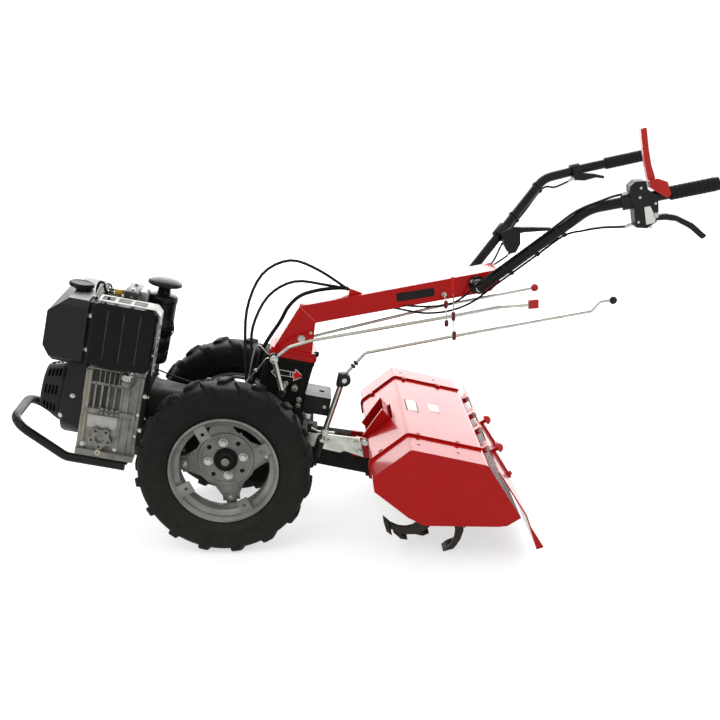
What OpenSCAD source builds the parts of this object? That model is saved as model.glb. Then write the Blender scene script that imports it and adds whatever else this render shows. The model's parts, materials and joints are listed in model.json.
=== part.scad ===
// Two-wheel walking tractor with a single-cylinder diesel engine and a rear rotary tiller.
// Machine frame: axle centre at the origin, x to the rear, y to the right, z up.
// parked() lets it down on its tyres and tines and moves it over the middle of its footprint.

/* [Stance] */
// Tyre diameter over the lugs
wheel_d = 530; // [480:2:580]
// Distance between the tyre centres
track = 450; // [430:2:520]
// Tine circle diameter
tine_d = 317; // [290:1:330]
// Rotor axis behind the axle
rotor_x = 632; // [620:1:680]
// Rotor axis above the axle, machine level
rotor_z = 20; // [10:1:24]

/* [Wheels] */
// Tyre section width
tyre_w = 130; // [110:1:140]
// Lug height
lug_h = 16; // [12:1:22]
// Lugs on one side of the tread
lug_count = 16; // [14:1:18]
// Rim diameter over the lips
rim_d = 325; // [310:1:335]
// Rim width over the lips
rim_w = 104; // [90:1:110]
// Bolt circle of the four rim tabs
tab_pcd = 252; // [244:1:258]
// Hole diameter in the rim tabs
tab_hole_d = 11; // [9:0.5:13]

/* [Engine] */
// Crankshaft height above the axle
crank_z = 62; // [55:1:70]
// Crankcase length
case_len = 176; // [165:1:180]
// Crankcase width
case_w = 220; // [210:1:230]
// Crankcase top above the axle
case_top = 190; // [185:1:200]
// Engine base below the axle
base_z = -88; // [-92:1:-86]
// Cylinder head top above the crankcase
head_h = 205; // [200:1:215]
// Fan shroud length
shroud_len = 64; // [56:1:70]
// Recoil starter cover depth
recoil_len = 68; // [60:1:72]
// Fuel tank width
tank_w = 300; // [270:2:310]
// Muffler length
muffler_len = 186; // [170:1:195]
// Muffler height
muffler_h = 188; // [170:1:195]
// Muffler depth
muffler_d = 100; // [80:1:105]
// Air filter diameter
filter_d = 88; // [80:1:90]

/* [Transmission] */
// Clutch housing length
clutch_len = 150; // [145:1:155]
// Gearbox width
gear_w = 160; // [140:1:170]
// Axle shaft diameter
axle_d = 35; // [30:1:40]
// Tow pin hole diameter
tow_pin_d = 17; // [14:0.5:20]

/* [Handlebar] */
// Handlebar tube diameter
bar_d = 30; // [26:1:32]
// Half distance between the grips
grip_y = 350; // [330:1:360]
// Grip diameter
grip_d = 38; // [35:1:40]
// Arm width
arm_w = 110; // [96:1:112]
// Arm wall thickness
arm_wall = 5; // [3:0.5:6]
// Front bumper tube diameter
bumper_d = 28; // [25:1:30]

/* [Tiller] */
// Width over the hood's end plates
hood_w = 800; // [760:2:820]
// Width of the fixed middle hood
hood_mid_w = 560; // [520:2:600]
// Hood sheet thickness
sheet = 4; // [3:0.5:5]
// Room between the tines and the hood
hood_gap = 28; // [24:1:36]
// Rotor shaft diameter
rotor_d = 40; // [36:1:44]
// Radial running clearance of shafts
run = 0.05; // [0.05:0.01:0.1]

/* [Hidden] */
$fn = 64;
wheel_r = wheel_d/2;
tine_r = tine_d/2;
pitch = asin((wheel_r - tine_r)/norm([rotor_x, rotor_z])) + atan2(rotor_z, rotor_x);

// Engine and transmission stations along the machine
gear_front = -130;
gear_rear = 213;
gear_top = 150;
case_rear = gear_front - clutch_len;
case_front = case_rear - case_len;
shroud_front = case_front - shroud_len;
shroud_r = 122;
shroud_band = 13;
recoil_front = shroud_front - recoil_len;
head_front = case_front + 16;
head_rear = case_rear - 50;
head_top = case_top + head_h;
exhaust = [case_rear - 76, head_top - 65];
muffler_y = case_w/2 + 5;
muffler_x = case_front + 7;
muffler_z = case_top + 42;
pump = [case_front + 69, base_z + 60];
cap = [case_front - 60, 0];
axle_tube = track/2 - rim_w/2 - 33;
bumper_x = recoil_front - 64;
bumper_y = case_w/2 + 12;
bumper_z = -18;

// Turn of the rim tabs and of the disc's ears about the axle
tab_turn = 38.5;
ear_turn = 17.5;

// Column, arm and rods
column_top = gear_top + 163;
arm_foot = column_top + 18;
rod_y = -arm_w/2 - 55;
rod_r = 5;
link_r = 4.5;
rod_gap = 0.4;

// Grip line and handlebar route on the right side, mirrored for the left
bar_r = bar_d/2;
bar_foot = [648, 112, 648];
bar_bend = [853, 316, 963];
bar_knee = [985, grip_y - 8, 1021];
bar_end = [1166, grip_y, 1098];
clamp_y = bar_foot.y - 14;
clamp_gap = 0.4;
grip_len = 134;

front_edge = (bumper_x*cos(pitch) + bumper_z*sin(pitch)) - bumper_d/2;
rear_edge = (bar_end.x*cos(pitch) + bar_end.z*sin(pitch)) + grip_d*0.3;
footprint_mid = (front_edge + rear_edge)/2;

// Hood outline, from the front lower edge over the top to the rear lower edge
hood_line = [at_rotor(-tine_r - 41, 48), at_rotor(-tine_r - 56, 89),
    at_rotor(-tine_r + 35, tine_r + hood_gap + 7), at_rotor(tine_r - 56, tine_r + hood_gap),
        at_rotor(tine_r + 76, 46)];
hood_skirt = [at_rotor(tine_r + 42, 14), at_rotor(tine_r + 14, 6), at_rotor(-36, -29), at_rotor(-87, -13)];
hood_bend = 16;
hood_lip = 7;
hood_rear = unit(hood_line[4] - hood_line[3]);
hood_out = [-hood_rear.y, hood_rear.x];
hinge_h = 14;
hinge = hood_line[3] + hood_rear*22 + hood_out*hinge_h;
flap_knee = hood_line[4] + hood_rear*4 + hood_out*hinge_h;
flap_end = at_rotor(tine_r + 145, -44);
hinge_ys = [-hood_mid_w/2 + 50, -70, 70, hood_mid_w/2 - 50];
pin_r = 4;

// Tiller socket, drive housing and rotor
tiller_front = rotor_x - tine_r - 21.5;
drive_front = gear_rear + 57;
cheek_y = 84;
cheek_t = 10;
leg_y = 60;
disc_first = leg_y + 68;
disc_step = (hood_w/2 - 100 - disc_first)/2;
disc_r = 52;
blade_foot = 24;
blade_sweep = 48;
blade_t = 10;
foot_w = 46;
tip_angle = -blade_sweep - asin(blade_half(1)/tine_r);

// Vector and outline helpers
function at_rotor(x, z) = [rotor_x + x, rotor_z + z];
function polar(r, a) = r*[cos(a), sin(a)];
function unit(v) = v/norm(v);
function corner(a, b, c) = acos(unit(a - b)*unit(c - b))/2;
function turn(d) = (d + 540) % 360 - 180;
function fillet(a, b, c, r, n) =
    let (h = corner(a, b, c))
    let (m = b + unit(unit(a - b) + unit(c - b))*r/sin(h))
    let (s = b + unit(a - b)*r/tan(h), e = b + unit(c - b)*r/tan(h))
    let (a0 = atan2(s.y - m.y, s.x - m.x), a1 = atan2(e.y - m.y, e.x - m.x))
    [for (k = [0:n]) m + r*[cos(a0 + turn(a1 - a0)*k/n), sin(a0 + turn(a1 - a0)*k/n)]];
function rounded(p, r, n = 4) =
    [for (i = [0:len(p) - 1])
        each fillet(p[(i + len(p) - 1) % len(p)], p[i], p[(i + 1) % len(p)], r, n)];
function eased(p, r, n = 4) =
    concat([p[0]], [for (i = [1:len(p) - 2]) each fillet(p[i - 1], p[i], p[i + 1], r, n)], [p[len(p) - 1]]);
function normal2(a, b) = [-(b - a).y, (b - a).x]/norm(b - a);
function miter(p, i, d) =
    i == 0 ? p[0] + d*normal2(p[0], p[1])
    : i == len(p) - 1 ? p[i] + d*normal2(p[i - 1], p[i])
    : let (m = unit(normal2(p[i - 1], p[i]) + normal2(p[i], p[i + 1])))
        p[i] + m*d/(m*normal2(p[i], p[i + 1]));
function shifted(p, d) = [for (i = [0:len(p) - 1]) miter(p, i, d)];
function band(p, d) = let (q = shifted(p, d)) concat(p, [for (i = [len(q) - 1:-1:0]) q[i]]);
function box2(x0, y0, x1, y1) = [[x0, y0], [x0, y1], [x1, y1], [x1, y0]];

// Lets the machine down on its wheels and tines
module parked() translate([-footprint_mid, 0, wheel_r]) rotate([0, pitch, 0]) children();

// Draws an x-z outline as a plate between two y stations
module slab(y0, y1) translate([0, y1, 0]) rotate([90, 0, 0]) linear_extrude(y1 - y0) children();

// Draws a y-z outline as a bar from one x station to another
module beam(x0, x1) translate([x0, 0, 0]) rotate([90, 0, 90]) linear_extrude(x1 - x0) children();

// Draws an x-y outline as a plate between two z stations
module deck(z0, z1) translate([0, 0, z0]) linear_extrude(z1 - z0) children();

// Both sides of a symmetric piece, drawn for the right side
module both_sides() for (s = [0, 1]) mirror([0, s, 0]) children();

// Box between two corners
module block(a, b) translate(a) cube(b - a);

// Cylinder along x, y or z from a start point
module along_x(p, l, r) translate(p) rotate([0, 90, 0]) cylinder(h = l, r = r);
module along_y(p, l, r) translate(p) rotate([-90, 0, 0]) cylinder(h = l, r = r);
module along_z(p, l, r) translate(p) cylinder(h = l, r = r);

// Turned piece whose profile rises from x towards the front, on the crankshaft line
module turned_front(x) translate([x, 0, crank_z]) rotate([0, -90, 0]) rotate_extrude() children();

// Turns children about a y axis through p
module rotate_about(p, a) translate(p) rotate([0, a, 0]) translate(-p) children();

// Places children with z along d at point p
module aimed(p, d) {
    z = unit(d);
    x = unit(cross(abs(z.y) < 0.9 ? [0, 1, 0] : [1, 0, 0], z));
    y = cross(z, x);
    multmatrix([[x.x, y.x, z.x, p.x], [x.y, y.y, z.y, p.y], [x.z, y.z, z.z, p.z], [0, 0, 0, 1]])
        children();
}

module rod(a, b, r) aimed(a, b - a) cylinder(h = norm(b - a), r = r);

// Route of a bent bar: arcs of one radius at each inner point
function arc3(a, b, c, r, n) =
    let (h = corner(a, b, c), m = b + unit(unit(a - b) + unit(c - b))*r/sin(h))
    let (x = unit(b + unit(a - b)*r/tan(h) - m), e = unit(b + unit(c - b)*r/tan(h) - m))
    let (y = cross(unit(cross(x, e)), x), w = 180 - 2*h)
    [for (k = [0:n]) m + r*(cos(w*k/n)*x + sin(w*k/n)*y)];
function bend_route(p, r, n) =
    concat([p[0]], [for (i = [1:len(p) - 2]) each arc3(p[i - 1], p[i], p[i + 1], r, n)], [p[len(p) - 1]]);

// Round bar swept along a route; up is a direction the route never takes
function tangent(q, i) =
    i == 0 ? unit(q[1] - q[0])
    : i == len(q) - 1 ? unit(q[i] - q[i - 1])
    : unit(unit(q[i + 1] - q[i]) + unit(q[i] - q[i - 1]));
function ring(q, i, r, n, up) =
    let (t = tangent(q, i), u = unit(cross(t, up)), v = cross(t, u))
    [for (k = [0:n - 1]) q[i] + r*(cos(360*k/n)*u + sin(360*k/n)*v)];
module swept(q, r, n, up) {
    m = len(q);
    pts = [for (i = [0:m - 1]) each ring(q, i, r, n, up)];
    sides = [for (i = [0:m - 2]) for (k = [0:n - 1])
        [n*i + n + k, n*i + n + (k + 1) % n, n*i + (k + 1) % n, n*i + k]];
    polyhedron(pts, concat([[for (k = [0:n - 1]) k]], sides, [[for (k = [n - 1:-1:0]) n*(m - 1) + k]]), 4);
}
module bent(p, big, r, n = 12, up = [0, 1, 0.05]) swept(bend_route(p, big, 5), r, n, up);

// Thin cables as eight-sided sweeps along a spline
function spline(p, i, t) =
    let (n = len(p) - 1, a = p[max(i - 1, 0)], b = p[i], c = p[i + 1], d = p[min(i + 2, n)])
    0.5*((2*b) + (c - a)*t + (2*a - 5*b + 4*c - d)*t*t + (3*b - a - 3*c + d)*t*t*t);
function route(p, s) =
    concat([for (i = [0:len(p) - 2]) for (k = [0:s - 1]) spline(p, i, k/s)], [p[len(p) - 1]]);
module cable(p, r, s = 4) swept(route(p, s), r, 8, [0, 1, 0.05]);

// Engine

module crankcase() color("#b9bbbd") difference() {
    y = case_w/2;
    union() {
        slab(-y, y) polygon(rounded(box2(case_front, base_z + 18, case_rear, case_top), 6));
        block([case_front, -y - 15, base_z], [case_rear, y + 15, base_z + 20]);
        both_sides() case_side();
        slab(-y - 12, -y + 1) translate(pump) pump_outline();
        along_y([case_rear - 50, -y - 14, case_top - 24], 15, 18);
    }
    along_y([pump.x, -y - 13, pump.y], 12, 15);
    for (i = [0:4]) rotate_about([pump.x, 0, pump.y], 72*i + 18)
        along_y([pump.x + 27, -y - 13, pump.y], 12, 4);
}

// Drilled pad with five lobes
module pump_outline() {
    circle(29);
    for (i = [0:4]) rotate(-72*i - 18) translate([27, 0]) circle(11);
}

// Flanges, ribs and ledge on the right wall of the crankcase
module case_side() {
    y = case_w/2 - 1;
    for (x = [case_front, case_rear - 20]) block([x, y, base_z + 18], [x + 20, y + 6, case_top - 6]);
    for (i = [0:5]) block([case_front + 32 + 20*i, y, crank_z + 2],
        [case_front + 38 + 20*i, y + 6, case_top - 48]);
    block([case_front + 12, y, crank_z - 10], [case_rear - 12, y + 10, crank_z + 3]);
    for (x = [case_front + 116, case_front + 140]) block([x, y, base_z + 18], [x + 8, y + 5, crank_z - 8]);
}

module cylinder_head() color("#8b8d90") {
    block([head_front + 12, -66, case_top], [head_rear - 12, 70, head_top - 60]);
    for (i = [0:6]) block([head_front, -84, case_top + 12 + 18*i], [head_rear, 84, case_top + 18 + 18*i]);
    block([head_front + 6, -70, head_top - 62], [head_rear - 6, 76, head_top]);
    slab(-56, 60) polygon(rounded(box2(head_front + 54, head_top - 20, head_rear - 12, head_top + 17), 7));
    along_y([exhaust.x, -muffler_y, exhaust.y], muffler_y - 60, 21);
    along_z([head_front + 14, -40, head_top - 2], 20, 7);
}

module fan_shroud() color("#26282a") {
    difference() {
        union() {
            turned_front(case_front) polygon([[0, 0], [shroud_r, 0], [shroud_r, shroud_len - 14],
                [shroud_r - 4, shroud_len - 4], [shroud_r - 14, shroud_len], [0, shroud_len]]);
            block([shroud_front + 8, -shroud_r + 6, crank_z], [case_front, shroud_r - 6, case_top + 10]);
            block([case_front - shroud_band, -130, case_top], [case_front, 130, head_top - 1]);
        }
        along_x([shroud_front - 1, 0, crank_z], 16, 78);
    }
    along_x([shroud_front - 34, 0, crank_z], 50, 42);
}

// Cover of the recoil starter: a shell with a slanted underside and slots all round
module recoil_cover() color("#202224") difference() {
    recoil_form(0);
    recoil_form(4);
    for (k = [0:9]) for (j = [0:3]) translate([shroud_front - 16 - 11*j, 0, crank_z]) rotate([36*k, 0, 0])
        block([-7, -14, 66], [0, 14, 110]);
    for (i = [-3:3]) block([recoil_front - 1, 16*i - 4, crank_z + 4],
        [recoil_front + 5, 16*i + 4, crank_z + 50]);
}
module recoil_form(t) difference() {
    turned_front(shroud_front + t/4) polygon([[0, 0], [97 - t, 0], [97 - t, 11], [82 - t, recoil_len - 8],
        [74 - t, recoil_len - t*3/4], [0, recoil_len - t*3/4]]);
    slab(-120, 120) polygon([[recoil_front - 20, crank_z - 11 + t*1.25],
        [shroud_front + 20, crank_z - 93 + t*1.25], [shroud_front + 20, crank_z - 120],
            [recoil_front - 20, crank_z - 120]]);
}

module fuel_tank() color("#2b2d2f") {
    x0 = recoil_front + 1;
    x1 = case_front - shroud_band;
    z0 = case_top + 10;
    z1 = head_top + 3;
    y = tank_w/2;
    intersection() {
        slab(-y, y) polygon(rounded([[x0, z0 + 46], [x0 + 2, z1 - 46], [x0 + 57, z1], [x1, z1], [x1, z0],
            [x0 + 31, z0]], 8));
        beam(x0 - 10, x1 + 10) polygon(rounded([[-y + 16, z0], [-y, z0 + 16], [-y, z1 - 20], [-y + 12, z1],
            [y - 12, z1], [y, z1 - 20], [y, z0 + 16], [y - 16, z0]], 6));
    }
    along_z([cap.x, cap.y, z1 - 2], 7, 28);
}

module fuel_cap() color("#1f2021") translate([cap.x, cap.y, head_top + 8]) difference() {
    rotate_extrude() polygon([[0, 0], [35, 0], [37, 3], [37, 17], [33, 22], [0, 22]]);
    for (i = [0:11]) rotate(30*i) translate([38.5, 0, -1]) cylinder(h = 20, r = 4);
}

module muffler() color("#232425") {
    y0 = -muffler_y - muffler_d;
    x1 = muffler_x + muffler_len;
    z1 = muffler_z + muffler_h;
    difference() {
        intersection() {
            slab(y0, -muffler_y) polygon(rounded(box2(muffler_x, muffler_z, x1, z1), 22));
            deck(muffler_z, z1) polygon(rounded(box2(muffler_x, y0, x1, -muffler_y), 9));
        }
        slab(y0 + 6, -muffler_y - 3) polygon(rounded(box2(muffler_x + 3, muffler_z + 3, x1 - 3, z1 - 3),
            19));
        for (i = [1:3]) block([muffler_x + i*muffler_len/4 - 3, y0 - 1, muffler_z + 16],
            [muffler_x + i*muffler_len/4 + 3, y0 + 3, z1 - 16]);
        along_z([x1 - 36, y0 + 50, muffler_z - 7], 20, 15);
    }
}

module muffler_guard() color("#c9cbcd") {
    y0 = -muffler_y - muffler_d;
    x1 = muffler_x + muffler_len;
    top = muffler_z + muffler_h;
    path = [[muffler_x + 14, top + 7], [x1 - 8, top + 7], [x1 + 7, top - 9], [x1 + 7, muffler_z + 2]];
    difference() {
        slab(y0 - 4, y0 + 66) polygon(band(eased(path, 8), 2));
        for (i = [0:2]) translate([muffler_x + 22 + i*(muffler_len - 48)/3, y0 + 10, top - 2])
            cube([(muffler_len - 48)/3 - 10, 42, 14]);
        for (i = [0:4]) block([x1 + 2, y0 + 10, muffler_z + 18 + 28*i],
            [x1 + 14, y0 + 52, muffler_z + 36 + 28*i]);
    }
    for (x = [muffler_x + 34, x1 - 36]) for (y = [y0 + 3, y0 + 60]) along_z([x, y + 4, top], 7.5, 4);
    for (y = [y0 + 12, y0 + 60]) along_x([x1, y - 6, muffler_z + 58], 7.5, 4);
}

// Oil-bath filter: tapered bowl, clamp band with two latches, lid, neck and mushroom cap, with its
// intake pipe
module air_filter() color("#222426") translate([case_rear - 1, 60, case_top]) {
    r = filter_d/2;
    rotate_extrude() polygon([[0, 0], [r - 16, 0], [r - 14, 6], [r - 4, 104], [r - 4, 112], [r + 1, 114],
        [r + 1, 128], [r - 1, 130], [r - 1, 190], [r + 1, 192], [r + 1, 205], [r - 5, 214], [19, 216],
        [19, 236], [50, 240], [53, 246], [53, 253], [47, 265], [30, 273], [0, 277]]);
    for (a = [-120, 60]) rotate(a) block([r - 8, -7, 98], [r + 7, 7, 146]);
    along_x([head_rear - case_rear - 5, 0, 150], 40, 15);
}

module dipstick() color("#d9b51e") translate([head_front + 30, 0, head_top]) {
    cylinder(h = 8, r = 10);
    translate([0, 0, 8]) cylinder(h = 13, r = 17, $fn = 12);
}

module front_bumper() color("#1d1e1f") {
    r = bumper_d/2;
    y = bumper_y;
    z = base_z - r - 1;
    bent([[case_rear - 20, -y, z], [case_front - 24, -y, z], [bumper_x, -y, bumper_z],
        [bumper_x, y, bumper_z], [case_front - 24, y, z], [case_rear - 20, y, z]], 55, r, 16, [0, 0, 1]);
    for (x = [case_front + 14, case_rear - 44]) block([x, -y, base_z - 10], [x + 30, y, base_z]);
}

// Transmission

// Cast housing that narrows from the engine flange to the gearbox
module clutch_housing() color("#2a2b2d") {
    y = case_w/2 + 14;
    z0 = crank_z - 124;
    z1 = case_top - 3;
    x = case_rear + 16;
    intersection() {
        slab(-y, y) polygon([[case_rear, z0], [case_rear, z1], [x, z1], [x + 3, z1 - 8],
            [gear_front, z1 - 13], [gear_front, z0 + 12], [x + 3, z0 + 6], [x, z0]]);
        deck(z0, z1) polygon([[case_rear, -y], [case_rear, y], [x, y], [x + 3, y - 9],
            [gear_front, gear_w/2 + 4], [gear_front, -gear_w/2 - 4], [x + 3, -y + 9], [x, -y]]);
        beam(case_rear, gear_front) polygon(rounded(box2(-y, z0, y, z1), 52));
    }
}

module gearbox() color("#2d2e30") {
    w = gear_w/2;
    outline = [[gear_front, -30], [gear_front, gear_top], [gear_rear, gear_top], [gear_rear, -60],
        [140, -96], [-80, -96]];
    difference() {
        union() {
            slab(-w, w) polygon(rounded(outline, 14));
            slab(-9, 9) polygon([[-84, -90], [-84, -104], [144, -104], [gear_rear + 8, -66],
                [gear_rear + 8, 0], [190, 0]]);
            deck(gear_top - 2, gear_top + 14) polygon(rounded(box2(gear_front + 18, -58, 14, 58), 16));
            along_y([0, -axle_tube, 0], 2*axle_tube, 46);
            both_sides() axle_flange(w);
            along_x([gear_rear - 5, 0, 10], 62, 52);
            block([gear_rear - 5, -cheek_y, 55], [gear_rear + 49, 0, 106]);
            block([gear_rear - 5, -10, 36], [gear_rear + 49, cheek_y, 68]);
        }
        both_sides() along_y([0, 40, 0], axle_tube, axle_d/2 + run);
    }
}

// Bolted flange and ribs round the axle tube
module axle_flange(w) {
    along_y([0, w, 0], 12, 72);
    for (i = [0:5]) rotate([0, 60*i + 30, 0]) translate([0, w, 0]) deck(-4, 4) polygon([[40, 0], [70, 0],
        [70, 12], [45, axle_tube - w - 8], [40, axle_tube - w - 8]]);
}

module column_base() color("#242527") {
    slab(-52, 52) polygon(rounded([[58, gear_top], [66, column_top], [gear_rear, column_top],
        [gear_rear - 9, 210], [gear_rear - 9, gear_top]], 4));
    deck(gear_top, gear_top + 13) polygon(rounded(box2(48, -66, gear_rear - 9, 66), 8));
    deck(column_top - 13, column_top) polygon(rounded(box2(60, -62, gear_rear + 1, 62), 8));
    both_sides() {
        for (x = [66, 182]) block([x, 50, gear_top + 10], [x + 10, 60, column_top - 10]);
        along_y([131, 50, gear_top + 66], 10, 20);
        along_y([167, 50, gear_top + 78], 10, 12);
    }
}

module arm_socket() color("#b3201d") deck(column_top, arm_foot) polygon(rounded(box2(70, -66, 218, 66),
    18));

module handlebar_arm() color("#b3201d") {
    w = arm_w/2;
    t = arm_wall;
    difference() {
        union() {
            slab(-w, w) polygon(rounded([[80, arm_foot], [200, arm_foot], [192, arm_foot + 105],
                [694, 634], [714, 668], [702, 704], [135, arm_foot + 147]], 6));
            deck(arm_foot, arm_foot + 9) polygon(rounded(box2(74, -w - 6, 208, w + 6), 8));
        }
        slab(-w + t, w - t) polygon([[90, arm_foot - 6], [190, arm_foot - 6], [184, arm_foot + 95],
            [720, 637], [720, 700], [140, arm_foot + 136]]);
        rod([150, -30, arm_foot + 34], [230, -30, arm_foot + 73], link_r + rod_gap);
    }
    slab(-36, 20) polygon([[275, 531], [275, 556], [284, 556], [314, 551], [314, 546]]);
}

module handlebar_clamp() color("#1c1d1e") both_sides() {
    along_y([bar_foot.x, arm_w/2, bar_foot.z], 12, 26);
    along_y([bar_foot.x, arm_w/2 + 11, bar_foot.z], clamp_y - arm_w/2 - 11, 20);
}

module bar_half() color("#1e1f20") {
    bent([bar_foot, bar_bend, bar_knee, bar_end], 90, bar_r, 16);
    along_y([bar_foot.x, clamp_y, bar_foot.z], 16, 18);
}
module handlebar_right() bar_half();
module handlebar_left() mirror([0, 1, 0]) bar_half();

// Room of the tube before and behind its knee, for the clamps that sit there
module knee_bore() {
    rod(bar_bend, bar_knee + (bar_knee - bar_bend)*0.1, bar_r + clamp_gap);
    rod(bar_knee + (bar_knee - bar_end)*0.1, bar_end, bar_r + clamp_gap);
}

module grip() color("#17181a") {
    d = unit(bar_end - bar_knee);
    aimed(bar_end - d*(grip_len - 6), d) difference() {
        union() {
            cylinder(h = grip_len, r = grip_d/2 - 1);
            for (i = [0:9]) translate([0, 0, 2 + 12.5*i]) cylinder(h = 9, r = grip_d/2);
        }
        translate([0, 0, -1]) cylinder(h = grip_len - 5, r = bar_r + 0.1);
    }
}
module grip_right() grip();
module grip_left() mirror([0, 1, 0]) grip();

// Controls

// Moulded housing round the knee of the left tube
module control_housing() color("#1b1c1d") {
    d = unit(bar_knee - bar_bend);
    y = bar_knee.y + 2;
    mirror([0, 1, 0]) difference() {
        union() {
            aimed(bar_knee - 60*d, d) cylinder(h = 40, r = 22);
            slab(y - 20, y + 20) polygon(rounded([[977, 942], [956, 996], [944, 1012], [932, 1046],
                [943, 1062], [971, 1069], [982, 1048], [1011, 1038], [1020, 1018], [1026, 998],
                    [1029, 968], [1008, 946]], 4));
        }
        knee_bore();
    }
}

// Curved red stop lever on a saddle behind the housing
module safety_lever() color("#c0211e") {
    y = bar_knee.y + 4;
    slab(-y - 9, -y + 9) polygon(rounded([[977, 1072], [998, 1078], [976, 1112], [957, 1153], [936, 1206],
        [922, 1198], [941, 1150], [962, 1103]], 4));
    difference() {
        slab(-y - 18, -y + 18) polygon(rounded([[979, 1072], [1000, 1082], [1029, 1078], [1048, 1048],
            [1040, 1036], [1014, 1044], [987, 1053]], 4));
        mirror([0, 1, 0]) knee_bore();
    }
}

module clutch_lever() color("#202122") {
    y = bar_knee.y + 2;
    slab(-y - 8, -y + 8) polygon(rounded([[1029, 970], [1028, 984], [1054, 993], [1084, 994],
        [1133, 982], [1181, 957], [1170, 945], [1128, 967], [1084, 979], [1056, 977]], 4));
}

// Clamped lever unit on the right tube and the throttle lever below its knee
module right_levers() color("#1f2021") {
    d = bar_bend - bar_foot;
    c = bar_foot + d*0.42;
    difference() {
        union() {
            aimed(c - unit(d)*20, d) cylinder(h = 40, r = 22);
            slab(c.y - 36, c.y + 8) polygon(rounded([[727, 782], [758, 806], [788, 796], [797, 761],
                [789, 730], [768, 722], [752, 738]], 4));
            slab(c.y - 30, c.y - 14) polygon(rounded([[764, 784], [764, 806], [800, 814], [882, 829],
                [884, 820], [806, 799]], 2));
        }
        rod(bar_foot, bar_bend, bar_r + clamp_gap);
    }
    e = unit(bar_knee - bar_bend);
    f = bar_knee - 34*e;
    difference() {
        union() {
            aimed(f - 14*e, e) cylinder(h = 28, r = 22);
            slab(f.y - 30, f.y - 12) polygon(rounded([[948, 978], [946, 1004], [984, 1007], [1014, 1011],
                [1047, 1011], [1047, 1003], [1020, 1001], [986, 984]], 2));
        }
        knee_bore();
    }
}

speed_rise = [186, rod_y, arm_foot + 63];
speed_bend = [572, rod_y, 543];
speed_last = [722, rod_y, 603];
speed_end = [816, rod_y + 10, 626];
drive_bend = [606, rod_y, 489];
drive_start = [354, rod_y, 387];
drive_last = [996, rod_y, 643];
drive_rise = [1014, rod_y, 676];
drive_end = [1044, rod_y, 687];

module speed_rod() color("#a9acae") {
    bent([[88, rod_y, column_top + 5], [126, rod_y, arm_foot + 31], speed_rise, speed_bend, speed_last,
        speed_end], 24, rod_r);
    rod([88, rod_y, column_top + 5], [131, rod_y, gear_top + 66], 8);
    along_y([131, rod_y - 8, gear_top + 66], -60 - rod_y + 8, 11);
    along_y([88, rod_y - 12, column_top + 5], 24, 12);
    difference() {
        along_y([167, -84, gear_top + 78], 24, 10);
        along_y([167, -85, gear_top + 78], 15, 6);
    }
}

module reverse_rod() color("#a9acae") bent([[150, -30, arm_foot + 34], [230, -30, arm_foot + 73],
    [553, -30, 553], [826, -14, 660]], 60, link_r);

module drive_linkage() color("#a9acae") {
    bent([[306, rod_y, 306], drive_start, drive_bend, drive_last, drive_rise, drive_end], 14, link_r);
    rod([271, rod_y, 33], [302, rod_y, 280], 9);
    block([290, rod_y - 12, 274], [318, rod_y + 12, 308]);
    along_y([279, rod_y - 10, 88], -cheek_y - 6 - rod_y + 10, 7);
    translate(drive_end + [8, 0, 1]) sphere(11);
}

module control_knobs() color("#c0211e") {
    translate([833, -14, 663]) difference() {
        sphere(12);
        rod([-35, 0, -14], [-4, 0, -1.6], link_r + 0.1);
    }
    aimed(speed_end, speed_end - speed_last) difference() {
        deck(-10, 20) polygon(rounded(box2(-15, -7, 12, 7), 4));
        translate([0, 0, -11]) cylinder(h = 11, r = rod_r + 0.1);
    }
}

// Eye hung from a stud on the arm's left wall, with a rod running through it
module guide(stud, eye, d, r) {
    y = rod_y + rod_r + 1;
    u = unit([eye.x, eye.z] - stud);
    n = [-u.y, u.x];
    along_y([stud.x, y, stud.y], -arm_w/2 - y, 5);
    difference() {
        union() {
            slab(y, y + 6) polygon([stud - 8*u + 7*n, [eye.x, eye.z] + 7*n, [eye.x, eye.z] - 7*n,
                stud - 8*u - 7*n]);
            aimed(eye - 7*d, d) cylinder(h = 14, r = r + 6);
        }
        aimed(eye - 30*d, d) cylinder(h = 60, r = r + rod_gap);
    }
}
module rod_guides() color("#a51e1b") {
    u = unit(speed_bend - speed_rise);
    v = unit(drive_bend - drive_start);
    guide([556, 604], speed_bend - 16*u, u, rod_r);
    guide([602, 624], drive_bend - 28*v, v, link_r);
}

module control_cables() color("#151617") {
    cable([[273, -24, 549.5], [173, -24, 592], [82, -24, 605], [7, -26, 547], [-19, -34, 431],
        [1, -50, 296], [14, -60, 239], [30, -66, gear_top + 1]], 4.5);
    cable([[274.5, -8, 549], [205, -8, 548], [107, -8, 540], [37, -10, 480], [8, -30, 382], [20, -44, 290],
        [34, -50, gear_top + 1]], 4.5);
    cable([[273, 10, 547], [236, 10, 540], [181, 10, 522], [134, 10, 496], [104, 10, 455], [88, 10, 405],
        [63, 10, 345], [49, 8, 300], [42, 4, 230], [33, 0, gear_top + 1]], 6);
}

// Hitch and tiller

module tow_bracket() color("#1e1f20") difference() {
    x0 = gear_rear - 9;
    block([x0, -60, gear_top], [x0 + 82, 60, gear_top + 58]);
    block([x0 + 18, -48, gear_top + 11], [x0 + 83, 48, gear_top + 47]);
    along_z([x0 + 52, 0, gear_top - 10], 80, tow_pin_d/2);
}

// Tall left plate and low right plate
module hitch_plates() color("#b4b7b8") {
    x0 = gear_rear + 19;
    slab(-cheek_y - 6, -cheek_y) polygon([[x0, 98], [rotor_x - 236, 108], [rotor_x - 212, 48],
        [rotor_x - 276, 58], [rotor_x - 288, 50], [x0, 56]]);
    slab(cheek_y, cheek_y + 6) polygon([[x0, 62], [rotor_x - 236, 68], [rotor_x - 216, 34], [x0, 36]]);
}

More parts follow.
